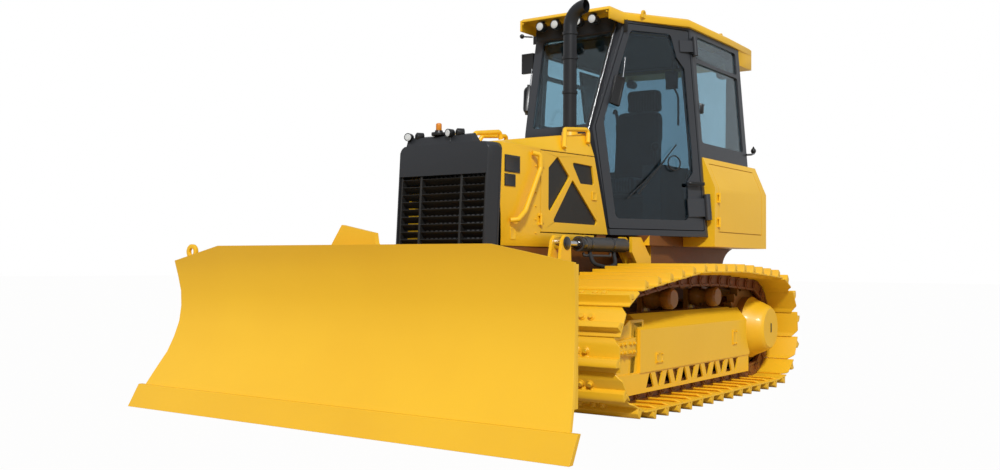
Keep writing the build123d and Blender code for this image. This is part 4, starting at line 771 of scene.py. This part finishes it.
def tube(name, route, radius, material, body="root", slot="yellow_paint", bend=40.0):
    """Round bar along a route of points in millimetres, with its corners bent to a radius."""
    bend_steps = 6
    points = [Vector(route[0])]
    for before, corner, after in zip(route, route[1:], route[2:]):
        before, corner, after = Vector(before), Vector(corner), Vector(after)
        reach = min(bend, (before - corner).length * 0.45, (after - corner).length * 0.45)
        enter = corner + (before - corner).normalized() * reach
        leave = corner + (after - corner).normalized() * reach
        for step in range(bend_steps + 1):
            t = step / bend_steps
            points.append(enter * (1 - t) ** 2 + corner * 2 * t * (1 - t) + leave * t ** 2)
    points.append(Vector(route[-1]))
    line = bpy.data.curves.new(name, "CURVE")
    line.dimensions = "3D"
    line.bevel_depth = radius * MM
    line.bevel_resolution = 3
    line.use_fill_caps = True
    spline = line.splines.new("POLY")
    spline.points.add(len(points) - 1)
    for target, point in zip(spline.points, points):
        target.co = (*(point * MM), 1)
    piece = bpy.data.objects.new(name, line)
    bpy.context.collection.objects.link(piece)
    select_only(piece)
    bpy.ops.object.convert(target="MESH")
    piece = bpy.context.object
    clean()
    bpy.ops.object.shade_smooth_by_angle(angle=math.radians(50))
    piece.data.name = name
    return paint(piece, material, body, slot)


print("plates, bolts and tubes ready")

# %% [markdown]
# The roof is one pressed and welded shell with a visor that carries the lamps in front. The visor
# is open forwards, so the lamps stand in a dark pocket. The solid has that pocket closed by a
# wall, so the visible roof is a copy of its mesh with the front walls cut out of it.

# %% Roof shell with an open visor
def shell_copy(name, node):
    """A copy of a solid's mesh in place, with its loose triangles merged."""
    shell = joined(name, [copied(nodes[node], nodes[node].matrix_world.copy())])
    select_only(shell)
    clean(LOOSE)
    return shell


def carve(shell, boxes):
    """Takes boxes, each given by two corners in millimetres, out of a shell."""
    for low, high in boxes:
        tool = start("carver", "cube", [b - a for a, b in zip(low, high)],
                     [(a + b) / 2 for a, b in zip(low, high)])
        bpy.ops.object.mode_set(mode="OBJECT")
        hollow = shell.modifiers.new("hollow", "BOOLEAN")
        hollow.operation = "DIFFERENCE"
        hollow.solver = "EXACT"
        hollow.object = tool
        select_only(shell)
        bpy.ops.object.modifier_apply(modifier="hollow")
        bpy.data.objects.remove(tool)


def finish_shell(shell, material, node, slot="yellow_paint"):
    """Rounds a carved shell's edges, and lets it stand for its solid."""
    add_bevel(shell, EDGE)
    bpy.ops.object.modifier_apply(modifier="edge")
    bpy.ops.object.shade_smooth_by_angle(angle=SHARP)
    shell.data.materials.clear()
    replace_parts(paint(shell, material, "root", slot), node)


pocket_half = 386
roof_shell = shell_copy("roof_shell", "roof")
carve(roof_shell, [((-pocket_half, 240, 2690), (pocket_half, 310, 2816)),
                   ((-pocket_half, 300, 2690), (pocket_half, 490, 2770))])
finish_shell(roof_shell, machine_yellow, "roof")
print("roof shell:", len(roof_shell.data.polygons), "faces")

# %% [markdown]
# A lamp is a die-cast drum with a bezel, a silvered dish and a prismatic lens, held by a foot.
# The drum is a cylinder whose front is inset and pushed in, and dish and lens are flatter drums
# in its opening. Six lamps stand for the solid ones: four in the visor and two behind.

# %% Roof lamps
def lamp(name, x, y, z, forward):
    """Work lamp: drum, foot, lens and reflector, facing forward (-1) or back (+1)."""
    radius, drum_long, lens_out, dish_out = 36, 62, 24, 19
    facing = (0, forward, 0)
    drum = start("drum", "cylinder", (2 * radius, 2 * radius, drum_long), (x, y, z), ALONG, 32)
    work_face(drum, facing, 5, -9)
    pick_side(drum, 0, -forward, 0)
    push(0, -forward * 12, 0)
    squeeze(0.6, 1, 0.6)
    close(drum)
    drum.data.materials.append(knob_plastic)
    foot = start("foot", "cube", (46, 34, 8), (x, y - forward * 6, z + radius + 2))
    pick_side(foot, 0, 0, -1)
    squeeze(0.7, 0.8, 1)
    push(0, 0, -14)
    close(foot)
    foot.data.materials.append(knob_plastic)
    body = joined(name, [drum, foot])
    lens = start(name + "_lens", "cylinder", (2 * radius - 10, 2 * radius - 10, 8),
                 (x, y + forward * lens_out, z), ALONG, 32)
    work_face(lens, facing, 8, 3)
    close(lens, 1.0)
    dish = start(name + "_reflector", "cylinder", (2 * radius - 12, 2 * radius - 12, 4),
                 (x, y + forward * dish_out, z), ALONG, 32)
    work_face(dish, facing, 6, -3)
    close(dish, 0.6, 1)
    return [paint(body, *moulded_black), paint(lens, frosted_lens, "root", "lamp_lens"),
            paint(dish, reflector_silver, "root", "lamp_lens")]


lamps = []
for i, x in enumerate((-232, -100, 100, 232)):
    lamps += lamp("visor_lamp_" + str(i + 1), x, 330, 2768, -1)
for i, x in enumerate((-430, 430)):
    lamps += lamp("rear_lamp_" + str(i + 1), x, 2236, 2605, 1)
for piece in lamps:
    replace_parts(piece, "work_lamps")
print("lamp pieces:", len(lamps))

# %% [markdown]
# The head of the windscreen has a black panel between the pane and the roof, a black plate closes
# the visor's pocket behind the lamps, and the roof's underside is lined with a dark moulding,
# which is what makes the cab look dim inside. Each is a flat plate with a worked face. The
# lining's front corners are cut along the doors, which run inwards towards the front.

# %% Black panels and headliner
screen_head = start("screen_head", "cube", (850, 8, 92), (0, 508, 2731))
work_face(screen_head, (0, -1, 0), 6, 3)
paint(close(screen_head), *moulded_black)
headliner_z, door_slope = 2683, 0.548
headliner = start("headliner", "cube", (1240, 1420, 14), (0, 1270, headliner_z))
for side, word in SIDES:
    cut((side * 655, 1049, headliner_z), (side, -door_slope, 0), drop=True)
work_face(headliner, (0, 0, -1), 60, -5)
paint(close(headliner, 3), cab_plastic, "root", "cab_plastic")
visor_back = start("visor_back", "cube", (766, 6, 118), (0, 489, 2752))
work_face(visor_back, (0, -1, 0), 8, -2)
paint(close(visor_back, 1, 1), *moulded_black)
print("screen head, visor back and headliner done")

# %% [markdown]
# The doors lean inwards towards the roof, so their fittings are placed in the door's own plane:
# a distance along the door and a distance up from its top rear corner. The pad on the door's
# edge, the ring of the vent and the handle are moulded, the wiper is a black steel arm with a
# rubber blade, and the whip is a chromed rod. They move with the door.

# %% Fittings on the cab doors
door_origin = Vector((686, 1049, 2780))
door_along = Vector((door_slope, 1, 0)).normalized()
door_out = Vector((1, -door_slope, 0.0852)).normalized()
door_up = door_out.cross(door_along)
door_turn = Matrix((door_along, door_up, door_out)).transposed().to_4x4()


def on_door(along, up, out=0.0):
    """Point in the left door's plane, in millimetres."""
    return door_origin + door_along * along + door_up * up + door_out * out


def hang(piece, place, material, tilt=0.0):
    """Sets a fitting on the left door, tilted in its plane by degrees, and mirrors it."""
    piece.matrix_world = (Matrix.Translation(on_door(*place) * MM) @ door_turn
                          @ Matrix.Rotation(math.radians(tilt), 4, "Z"))
    piece = joined(piece.name, [piece])
    twin = mirrored(piece, piece.name.replace("left", "right"))
    paint(piece, material, "cab_door_left", "dark_paint")
    paint(twin, material, "cab_door_right", "dark_paint")


pad = start("door_pad_left", "cube", (84, 226, 26), (0, 0, 0))
work_face(pad, (0, 0, 1), 84 * 0.16, -3)
hang(close(pad, 12, 3), (-712, -560, 22), knob_plastic, tilt=-16)
vent_ring = start("vent_ring_left", "cylinder", (120, 120, 8), (0, 0, 0), sides=40)
pick_ends(vent_ring, 2)
inset(9)
bpy.ops.mesh.bridge_edge_loops()
hang(close(vent_ring), (-215, -1080, 13), seal_rubber)
door_handle = start("door_handle_left", "cube", (120, 26, 20), (0, 0, 0))
pick_side(door_handle, -1, 0, 0)
push(-24, 0, -6)
squeeze(1, 0.7, 0.7)
hang(close(door_handle, 5, 3), (-20, -1235, 40), knob_plastic)
for name, foot, tip, radius, material in (
        ("wiper_arm", (-196, -940, 20), (-560, -1330, 24), 5, knob_plastic),
        ("wiper_blade", (-300, -1068, 12), (-650, -1370, 12), 4, seal_rubber),
        ("door_whip", (-624, -297, 16), (-655, -452, 20), 4, rod_chrome)):
    rod = tube(name + "_left", [on_door(*foot), on_door(*tip)], radius, material, "cab_door_left",
               "dark_paint")
    paint(mirrored(rod, name + "_right"), material, "cab_door_right", "dark_paint")
print("door fittings on both doors")

# %% [markdown]
# Tubes and brackets stand on the cab's corner posts: a glossy black tube up the left front post,
# which carries the wiring to the lamps, a grab handle, a box and a small rod with a ball on the
# right one, and the arm for a mirror at each rear corner. Bent tube is cheap and strong, and it
# is what such handles are made of.

# %% Tubes and brackets on the cab
gloss_black = enamel("gloss_black_enamel", "#1A1B1E", "#131417", 0.22, 0.5, 0.0)
black_tube = (gloss_black, "root", "dark_paint")
tube("post_conduit_left", [(337, 490, 2762), (293, 281, 2184), (274, 180, 1905)], 13, *black_tube, 60)
tube("post_handle_right", [(-440, 530, 2352), (-505, 515, 2340), (-512, 515, 2150), (-440, 530, 2138)],
     12, *black_tube, 30)
plate("post_box_right", (112, 26, 160), (-478, 515, 2538), *moulded_black, radius=6, field=2)
tube("ball_rod_right", [(-440, 515, 2749), (-535, 515, 2765)], 6, *black_tube)
ball = start("ball_right", "ball", (38, 38, 38), (-540, 515, 2767), sides=16)
pick(ball, lambda c, n: n.x < -0.95)
inset(2)
paint(close(ball, 0), *moulded_black)
for side, word in SIDES:
    tube("mirror_arm_" + word,
         [(side * 775, 1990, 1868), (side * 790, 2060, 1875), (side * 745, 2240, 1905)], 9, *black_tube, 40)
    mirror_knob = start("mirror_knob_" + word, "ball", (46, 46, 52), (side * 745, 2225, 1925), sides=14)
    pick(mirror_knob, lambda c, n: n.z > 0.8)
    push(0, 0, 14)
    squeeze(0.5, 0.5, 1)
    paint(close(mirror_knob, 2, 1), *moulded_black)
    latch = start("window_latch_" + word, "cube", (14, 50, 86), (side * 742, 1145, 2157))
    pick_side(latch, side, 0, 0)
    squeeze(1, 0.6, 0.8)
    push(side * 6, 0, 0)
    paint(close(latch, 3), *moulded_black)
bolts("roof_bolts", [(x, 281, 2800) for x in (-372, 372)], (0, -1, 0), machine_yellow, size=10)
print("cab fittings done")

# %% [markdown]
# On the hood stand the plates that a maker would print on; here they stay blank. The cooler box on
# top of the radiator carries four small lamps and an amber beacon on a black socket. The clips
# on the exhaust are strap clamps, and the latch of each engine door is a recessed paddle.

# %% Hood fittings
sign_black = enamel("sign_black_enamel", "#17181A", "#121315", 0.4, 0.2, 0.0)
blank_sign = (sign_black, "root", "dark_paint")
plate("blank_plate_upper", (4, 170, 108), (395, -975, 1561), *blank_sign, radius=1.2, field=0.8)
plate("blank_plate_lower", (4, 120, 78), (395, -1000, 1456), *blank_sign, radius=1.2, field=0.8)
plate("blank_label_low", (3, 60, 80), (394, -960, 1120), machine_yellow, radius=0.8, field=0.5)
for side, word in SIDES:
    plate("door_latch_" + word, (8, 62, 62), (side * 396, 66, 1416), machine_yellow,
          "engine_door_" + word, radius=2.5, field=2.5)
    bolts("hood_bolts_" + word, [(side * 392, -700, z) for z in range(1130, 1660, 88)],
          (side, 0, 0), machine_yellow, size=9)
stack_x, stack_y = 222, 8
for z in (1915, 2170, 2420, 2600):
    clamp = start("exhaust_clamp_" + str(z), "cylinder", (112, 112, 20), (stack_x, stack_y, z),
                  sides=36)
    pick_ends(clamp, 2)
    inset(9)
    bpy.ops.mesh.delete(type="FACE")
    close(clamp, 0)
    clamp.modifiers.new("wall", "SOLIDIFY").thickness = 3 * MM
    bpy.ops.object.modifier_apply(modifier="wall")
    paint(clamp, exhaust_black, "root", "exhaust_steel")
print("hood fittings done")


# %% Cooler fittings
def small_lamp(name, x, y, z, turn):
    """Small round lamp on a stalk, turned about it by radians."""
    shell = start(name + "_shell", "cylinder", (54, 54, 44), (0, 0, 0), ALONG, 24)
    work_face(shell, (0, -1, 0), 4, -6)
    pick_side(shell, 0, 1, 0)
    push(0, 8, 0)
    squeeze(0.6, 1, 0.6)
    close(shell, 1.2)
    stalk = start(name + "_stalk", "cube", (16, 16, 40), (0, 6, -38))
    pick_side(stalk, 0, 0, -1)
    push(0, 0, -6)
    squeeze(1.8, 1.8, 1)
    close(stalk, 1.5, 1)
    shell = joined(name + "_shell", [shell, stalk])
    lens = start(name + "_lens", "cylinder", (46, 46, 6), (0, -17, 0), ALONG, 24)
    work_face(lens, (0, -1, 0), 6, 2)
    close(lens, 0.8, 1)
    shell.matrix_world = lens.matrix_world = moved(x, y, z) @ Matrix.Rotation(turn, 4, "Z")
    paint(joined(name + "_shell", [shell]), *moulded_black)
    paint(joined(name + "_lens", [lens]), frosted_lens, "root", "lamp_lens")


small_lamp("cooler_lamp_1", -294, -1176, 1752, 0.3)
small_lamp("cooler_lamp_2", 46, -1176, 1758, -0.2)
small_lamp("cooler_lamp_3", -230, -1140, 1756, 2.6)
small_lamp("cooler_lamp_4", 104, -1140, 1762, 2.5)
beacon_x, beacon_y = -69, -1145
beacon_base = start("beacon_base", "cylinder", (96, 96, 20), (beacon_x, beacon_y, 1762), sides=28)
work_face(beacon_base, (0, 0, 1), 22, 14)
paint(close(beacon_base, 2), *moulded_black)
beacon = start("beacon_cap", "cylinder", (38, 38, 44), (beacon_x, beacon_y, 1806), sides=24)
pick_side(beacon, 0, 0, 1)
push(0, 0, 6)
squeeze(0.6, 0.6, 1)
amber_shell = enamel("amber_enamel", "#E08A12", "#D27C0C", 0.3, 0.4, 0.0)
paint(close(beacon, 3), amber_shell, "root", "lamp_lens")
print("cooler fittings done")

# %% [markdown]
# The radiator guard is a casting bolted to the hood's front, and the joint between them leans: it
# runs forward towards the foot, so the guard's side is narrower below. Copies of both meshes show
# that. Their edges are moved in proportion to how far below the guard's top they lie. The guard's
# top corners are rounded, which a row of flat cuts gives.

# %% Leaning joint of guard and hood
guard_top, guard_foot = 1.69, 0.56
joint_y, lean = -1.084, 0.058
row_width = 0.009  # vertices this near to a row's y belong to it


def round_corners(shell):
    """Rounds the front face's top corners with flat cuts that run along the chamfer behind it."""
    radius, half, front = 46.0, 358.0, -1186.0
    middle_x, middle_z = half - radius, guard_top / MM - radius
    bpy.context.view_layer.objects.active = shell
    bpy.ops.object.mode_set(mode="EDIT")
    for side, word in SIDES:
        for angle in map(math.radians, (15, 30, 45, 60, 75)):
            out, up = math.cos(angle), math.sin(angle)
            cut((side * (middle_x + radius * out), front, middle_z + radius * up),
                (side * 2 * out, -out, 2 * up), drop=True)
    bpy.ops.object.mode_set(mode="OBJECT")


def leaned(name, node, material, slot, rows):
    """A copy of the solid whose vertices at each row's y move forward, most of all at the foot."""
    shell = shell_copy(name, node)
    for vertex in shell.data.vertices:
        for y, shift, top in rows:
            if abs(vertex.co.y - y) < row_width and vertex.co.z < top:
                vertex.co.y -= shift * (guard_top - vertex.co.z) / (guard_top - guard_foot)
                break
    if node == "front_guard":
        round_corners(shell)
    finish_shell(shell, material, node, slot)


leaned("guard_shell", "front_guard", guard_charcoal, "dark_paint",
       ((joint_y, lean, 2.0), (-1.144, 0.02, 0.6)))
leaned("hood_shell", "hood", machine_yellow, "yellow_paint", ((joint_y, lean, 1.68),))
print("guard and hood joint leans", lean / MM, "mm")

# %% [markdown]
# The track frame is a long welded box that carries the rollers and guides the idler. It has
# hatches for greasing, gussets under its lip, and by the idler a bearing block whose bolts hold
# the recoil slide, with a filler plate behind it. A web plate stands inside each track between the
# hull and the carrier rollers, in the hull's painted shade brown. The rollers' caps are recessed,
# so little of them shows, and they take the chain's painted shade brown. The final drive's cover
# has a plug. These are plates and turned caps, so each is a flat blank with a worked face.

# %% Undercarriage fittings
hatches = (("hatch_front", -340, 330, (92, 70), (34, 24)), ("hatch_rear", 905, 395, (70, 110), (24, 44)))
hatch_face = 1116
gusset_first, gusset_step = -430, 214
for side, word in SIDES:
    out = (side, 0, 0)
    block = start("idler_block_" + word, "cube", (52, 250, 118), (side * 1086, -785, 418))
    work_face(block, out, 14, 8)
    pick_side(block, 0, -1, 0)
    squeeze(1, 1, 0.72)
    paint(close(block, 4), track_yellow)
    bolts("idler_bolts_" + word,
          [(side * 1120, y, z) for y in (-870, -820, -750, -700) for z in (392, 444)],
          out, track_yellow, size=20)
    fill = start("filler_plate_" + word, "cube", (12, 170, 340), (side * 1088, -630, 410))
    pick_side(fill, 0, 0, 1)
    bpy.ops.transform.translate(value=(0, 22 * MM, 0))
    work_face(fill, out, 16, -2)
    paint(close(fill), track_yellow)
    saddle = start("saddle_web_" + word, "cube", (16, 1840, 290), (side * 538, 1070, 785))
    pick_side(saddle, 0, 0, -1)
    squeeze(1, 0.8, 1)
    work_face(saddle, out, 20, -3)
    # The web plate's brown is the hull's painted shade.
    paint(close(saddle, 2), hull_painted_shade)
    hatch_bolts = []
    for name, y, z, size, bolt in hatches:
        plate(name + "_" + word, (9, *size), (side * (hatch_face - 2), y, z), track_yellow, field=2)
        hatch_bolts += [(side * hatch_face, y + dy, z + dz)
                        for dy in (-bolt[0], bolt[0]) for dz in (-bolt[1], bolt[1])]
    bolts("hatch_bolts_" + word, hatch_bolts, out, track_yellow, size=11)
    plug = start("hub_plug_" + word, "cube", (8, 14, 74), (side * 1213, sprocket_y, 446))
    pick_side(plug, *out)
    squeeze(1, 0.6, 0.9)
    paint(close(plug), *moulded_black)
    for i, y in enumerate(carrier_places):
        cap = start("carrier_cap_" + str(i) + "_" + word, "cylinder", (96, 96, 14),
                    (side * 1046, y, carrier_z), ACROSS, 32)
        work_face(cap, out, 14, 5)
        inset(16)
        push(-side * 4, 0, 0)
        # The caps' brown is the chain's painted shade.
        paint(close(cap, 2), chain_painted_shade, "root", "track_steel")
    for i in range(7):
        gusset = start("gusset_" + str(i) + "_" + word, "cube", (26, 10, 46),
                       (side * 1100, gusset_first + i * gusset_step, 262))
        pick_side(gusset, 0, 0, -1)
        bpy.ops.transform.translate(value=(-side * 9 * MM, 0, 0))
        squeeze(0.3, 1, 1)
        paint(close(gusset, 1.5, 1), track_yellow)
print("undercarriage fittings done")

# %% [markdown]
# An eye at one upper corner of the blade takes the lifting chain. On each lift cylinder a gland
# nut closes the barrel where its rod comes out, two bands hold a steel pipe along it, and a rubber
# hose feeds it. A cap closes the eye at the rod's end.

# %% Blade and cylinder fittings
eye = start("blade_eye", "cylinder", (96, 96, 22), (0, 0, 0), sides=28)
pick_ends(eye, 2)
inset(26)
bpy.ops.mesh.bridge_edge_loops()
close(eye, 2.5)
tab = start("tab", "cube", (84, 60, 22), (0, -58, 0))
pick_side(tab, 0, -1, 0)
squeeze(1.25, 1, 1)
close(tab, 2.5)
eye = joined("blade_eye", [eye, tab])
eye.matrix_world = moved(-1390, -2038, 990) @ Matrix.Rotation(math.pi / 2, 4, "X")
paint(joined("blade_eye", [eye]), machine_yellow, "blade_body")
lift_x, lift_z = 520, 1065
for side, word in SIDES:
    barrel = "lift_barrel_" + word
    gland = start("lift_gland_" + word, "cylinder", (104, 104, 46), (side * lift_x, -346, lift_z), ALONG, 36)
    work_face(gland, (0, -1, 0), 12, 3)
    paint(close(gland, 3), gloss_black, barrel, "barrel_paint")
    for i, y in enumerate((-250, 60)):
        band = start("lift_band_" + str(i) + "_" + word, "cylinder", (107, 107, 26),
                     (side * lift_x, y, lift_z), ALONG, 36)
        pick_ends(band, 1)
        inset(4)
        paint(close(band, 2), gloss_black, barrel, "barrel_paint")
    tube("lift_pipe_" + word, [(side * lift_x, -300, 1005), (side * 528, -300, 985), (side * 532, 60, 985),
                              (side * 528, 60, 1008)], 10, cylinder_grey, barrel, "barrel_paint", 24)
    tube("lift_hose_" + word, [(side * 530, -230, 1010), (side * 570, -250, 930), (side * 585, -60, 900),
                              (side * 560, 90, 930), (side * 528, 110, 1015)], 14, seal_rubber,
         barrel, "dark_paint", 70)
    cap = start("lift_eye_cap_" + word, "cylinder", (88, 88, 12), (side * 570, -595, 1063), ACROSS, 28)
    work_face(cap, (side, 0, 0), 12, 5)
    paint(close(cap, 2), gloss_black, "lift_rod_" + word, "barrel_paint")
print("blade and cylinder fittings done")

# %% [markdown]
# The seat is foam under woven cloth. Foam cut to size and covered swells a little between its
# seams, so each cushion is a soft block: a subdivided box, remeshed, and inflated as cloth with a
# little pressure. No point moves further than the cap or leaves the cushion's box. The grid is
# coarse and the steps are few, because the seat is small and dim behind glass.

# %% Seat cushions
VOXEL = 14 * MM
SWELL_STEPS = 12
PRESSURE = 4.0
CAP = 20 * MM


def apply_smoothing(piece, levels):
    """Subdivides a mesh smoothly that many times."""
    smooth = piece.modifiers.new("smooth", "SUBSURF")
    smooth.levels = smooth.render_levels = levels
    bpy.ops.object.modifier_apply(modifier="smooth")


def cushion(name, size, centre, taper=1.0):
    """Padded block inflated by a cloth simulation, and kept inside its box."""
    pad = start(name, "cube", [s * 0.98 for s in size], centre)
    pick_side(pad, 0, 0, 1)
    squeeze(taper, 1, 1)
    bpy.ops.mesh.select_all(action="SELECT")
    bpy.ops.mesh.subdivide(number_cuts=3)
    close(pad, 0)
    apply_smoothing(pad, 2)
    grid = pad.modifiers.new("grid", "REMESH")
    grid.mode = "VOXEL"
    grid.voxel_size = VOXEL
    bpy.ops.object.modifier_apply(modifier="grid")
    before = [v.co.copy() for v in pad.data.vertices]
    swell = pad.modifiers.new("swell", "CLOTH")
    swell.settings.use_pressure = True
    swell.settings.uniform_pressure_force = PRESSURE
    swell.settings.effector_weights.gravity = 0.0
    for step in range(1, SWELL_STEPS + 1):
        bpy.context.scene.frame_set(step)
    bpy.ops.object.modifier_apply(modifier="swell")
    bpy.context.scene.frame_set(1)
    low = [(c - s / 2) * MM for c, s in zip(centre, size)]
    high = [(c + s / 2) * MM for c, s in zip(centre, size)]
    for vertex, old in zip(pad.data.vertices, before):
        shift = vertex.co - old
        if shift.length > CAP:
            shift = shift.normalized() * CAP
        vertex.co = Vector([min(max(v, a), b) for v, a, b in zip(old + shift, low, high)])
    apply_smoothing(pad, 1)
    bpy.ops.object.shade_smooth()
    paint(pad, seat_cloth, "root", "seat_cloth")
    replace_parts(pad, "seat")


cushion("seat_pan", (500, 500, 130), (0, 1240, 1569))
cushion("seat_back", (440, 120, 670), (0, 1520, 1919), 0.95)
cushion("seat_headrest", (300, 90, 196), (0, 1610, 2332), 0.95)
print("seat cushions done")

# %% [markdown]
# Behind the glass the cab holds what an operator uses: a monitor on a bent arm, a grab bar in
# each rear corner, an arm rest and a trim panel on the right. They are dim, so plain bent tube and
# moulded boxes are enough.

# %% Cab interior
black_inside = (knob_plastic, "root", "cab_plastic")
grey_inside = (cab_plastic, "root", "cab_plastic")
monitor = start("cab_monitor", "cube", (100, 30, 150), (277, 1550, 2485))
work_face(monitor, (0, -1, 0), 10, -4)
paint(close(monitor, 5), *black_inside)
tube("monitor_arm", [(290, 1560, 2665), (290, 1560, 2420), (330, 1560, 2350), (330, 1560, 2100)], 9,
     *black_inside, 60)
for side, word in SIDES:
    tube("grab_bar_" + word, [(side * 430, 1880, 2300), (side * 380, 1820, 2320), (side * 330, 1800, 2050),
                             (side * 330, 1800, 1800)], 13, *grey_inside, 90)
trim = start("rear_corner_trim", "cube", (14, 330, 520), (-664, 1800, 2410))
work_face(trim, (1, 0, 0), 24, -4)
paint(close(trim, 3), *black_inside)
arm_rest = start("arm_rest_right", "cube", (120, 380, 90), (-400, 1180, 1842))
pick_side(arm_rest, 0, 0, 1)
squeeze(0.8, 0.94, 1)
push(0, 0, 14)
squeeze(0.7, 0.9, 1)
paint(close(arm_rest, 12, 3), *grey_inside)
print("cab interior done")

# %% [markdown]
# The floor is a dull slab that the camera sees as almost white, under a pale sky. One broad lamp
# in front and above stands for a hazy sun, and the sky fills in the shadows, so that a colour
# renders about as it is written. The camera sees the sky as plain white, also through glass, but
# it lights the object, and is mirrored in it, at a lower level.

# %% Floor, sky and lamp
floor_white_share = 0.97
bpy.ops.mesh.primitive_plane_add(size=120.0, location=(0, 0, 0))
floor = bpy.context.object
floor.name = "floor"
floor_material, floor_tree, floor_shader, floor_place = start_material(
    "pale_screed", Base_Color=linear("#BDB5A5"), Roughness=0.9, Specular_IOR_Level=0.1)
floor_ray = add_node(floor_tree, "ShaderNodeLightPath")
floor_share = add_node(floor_tree, "ShaderNodeMath", {"operation": "MULTIPLY"}, {1: floor_white_share},
                       {0: floor_ray.outputs["Is Camera Ray"]})
floor_white = add_node(floor_tree, "ShaderNodeEmission",
                       values={"Color": linear("#FFFFFF"), "Strength": 1.0})
floor_blend = add_node(floor_tree, "ShaderNodeMixShader",
                       links={0: floor_share.outputs["Value"], 1: floor_shader.outputs[0],
                              2: floor_white.outputs[0]})
floor_end = next(node for node in floor_tree.nodes if node.type == "OUTPUT_MATERIAL")
floor_tree.links.new(floor_blend.outputs[0], floor_end.inputs["Surface"])
floor.data.materials.append(floor_material)

sky = bpy.data.worlds.new("pale_sky")
bpy.context.scene.world = sky
sky.use_nodes = True
sky_tree = sky.node_tree
sky_tree.nodes.clear()
ray = add_node(sky_tree, "ShaderNodeLightPath")
seen = add_node(sky_tree, "ShaderNodeMath", {"operation": "MAXIMUM"},
                links={0: ray.outputs["Is Camera Ray"], 1: ray.outputs["Is Transmission Ray"]})
fill = add_node(sky_tree, "ShaderNodeBackground", values={"Color": linear("#F4F6FA"), "Strength": 0.55})
backdrop = add_node(sky_tree, "ShaderNodeBackground",
                    values={"Color": linear("#FFFFFF"), "Strength": 1.0})
blend = add_node(sky_tree, "ShaderNodeMixShader",
                 links={0: seen.outputs["Value"], 1: fill.outputs[0], 2: backdrop.outputs[0]})
add_node(sky_tree, "ShaderNodeOutputWorld", links={"Surface": blend.outputs[0]})

toward_sun = Vector((0.50, -0.62, 0.60))
sun_data = bpy.data.lights.new("hazy_sun", "SUN")
sun_data.energy = 2.5
sun_data.angle = math.radians(6)
sun = bpy.data.objects.new("hazy_sun", sun_data)
bpy.context.collection.objects.link(sun)
sun.rotation_euler = toward_sun.to_track_quat("Z", "Y").to_euler()
print("lamp from", [round(v, 2) for v in toward_sun.normalized()])
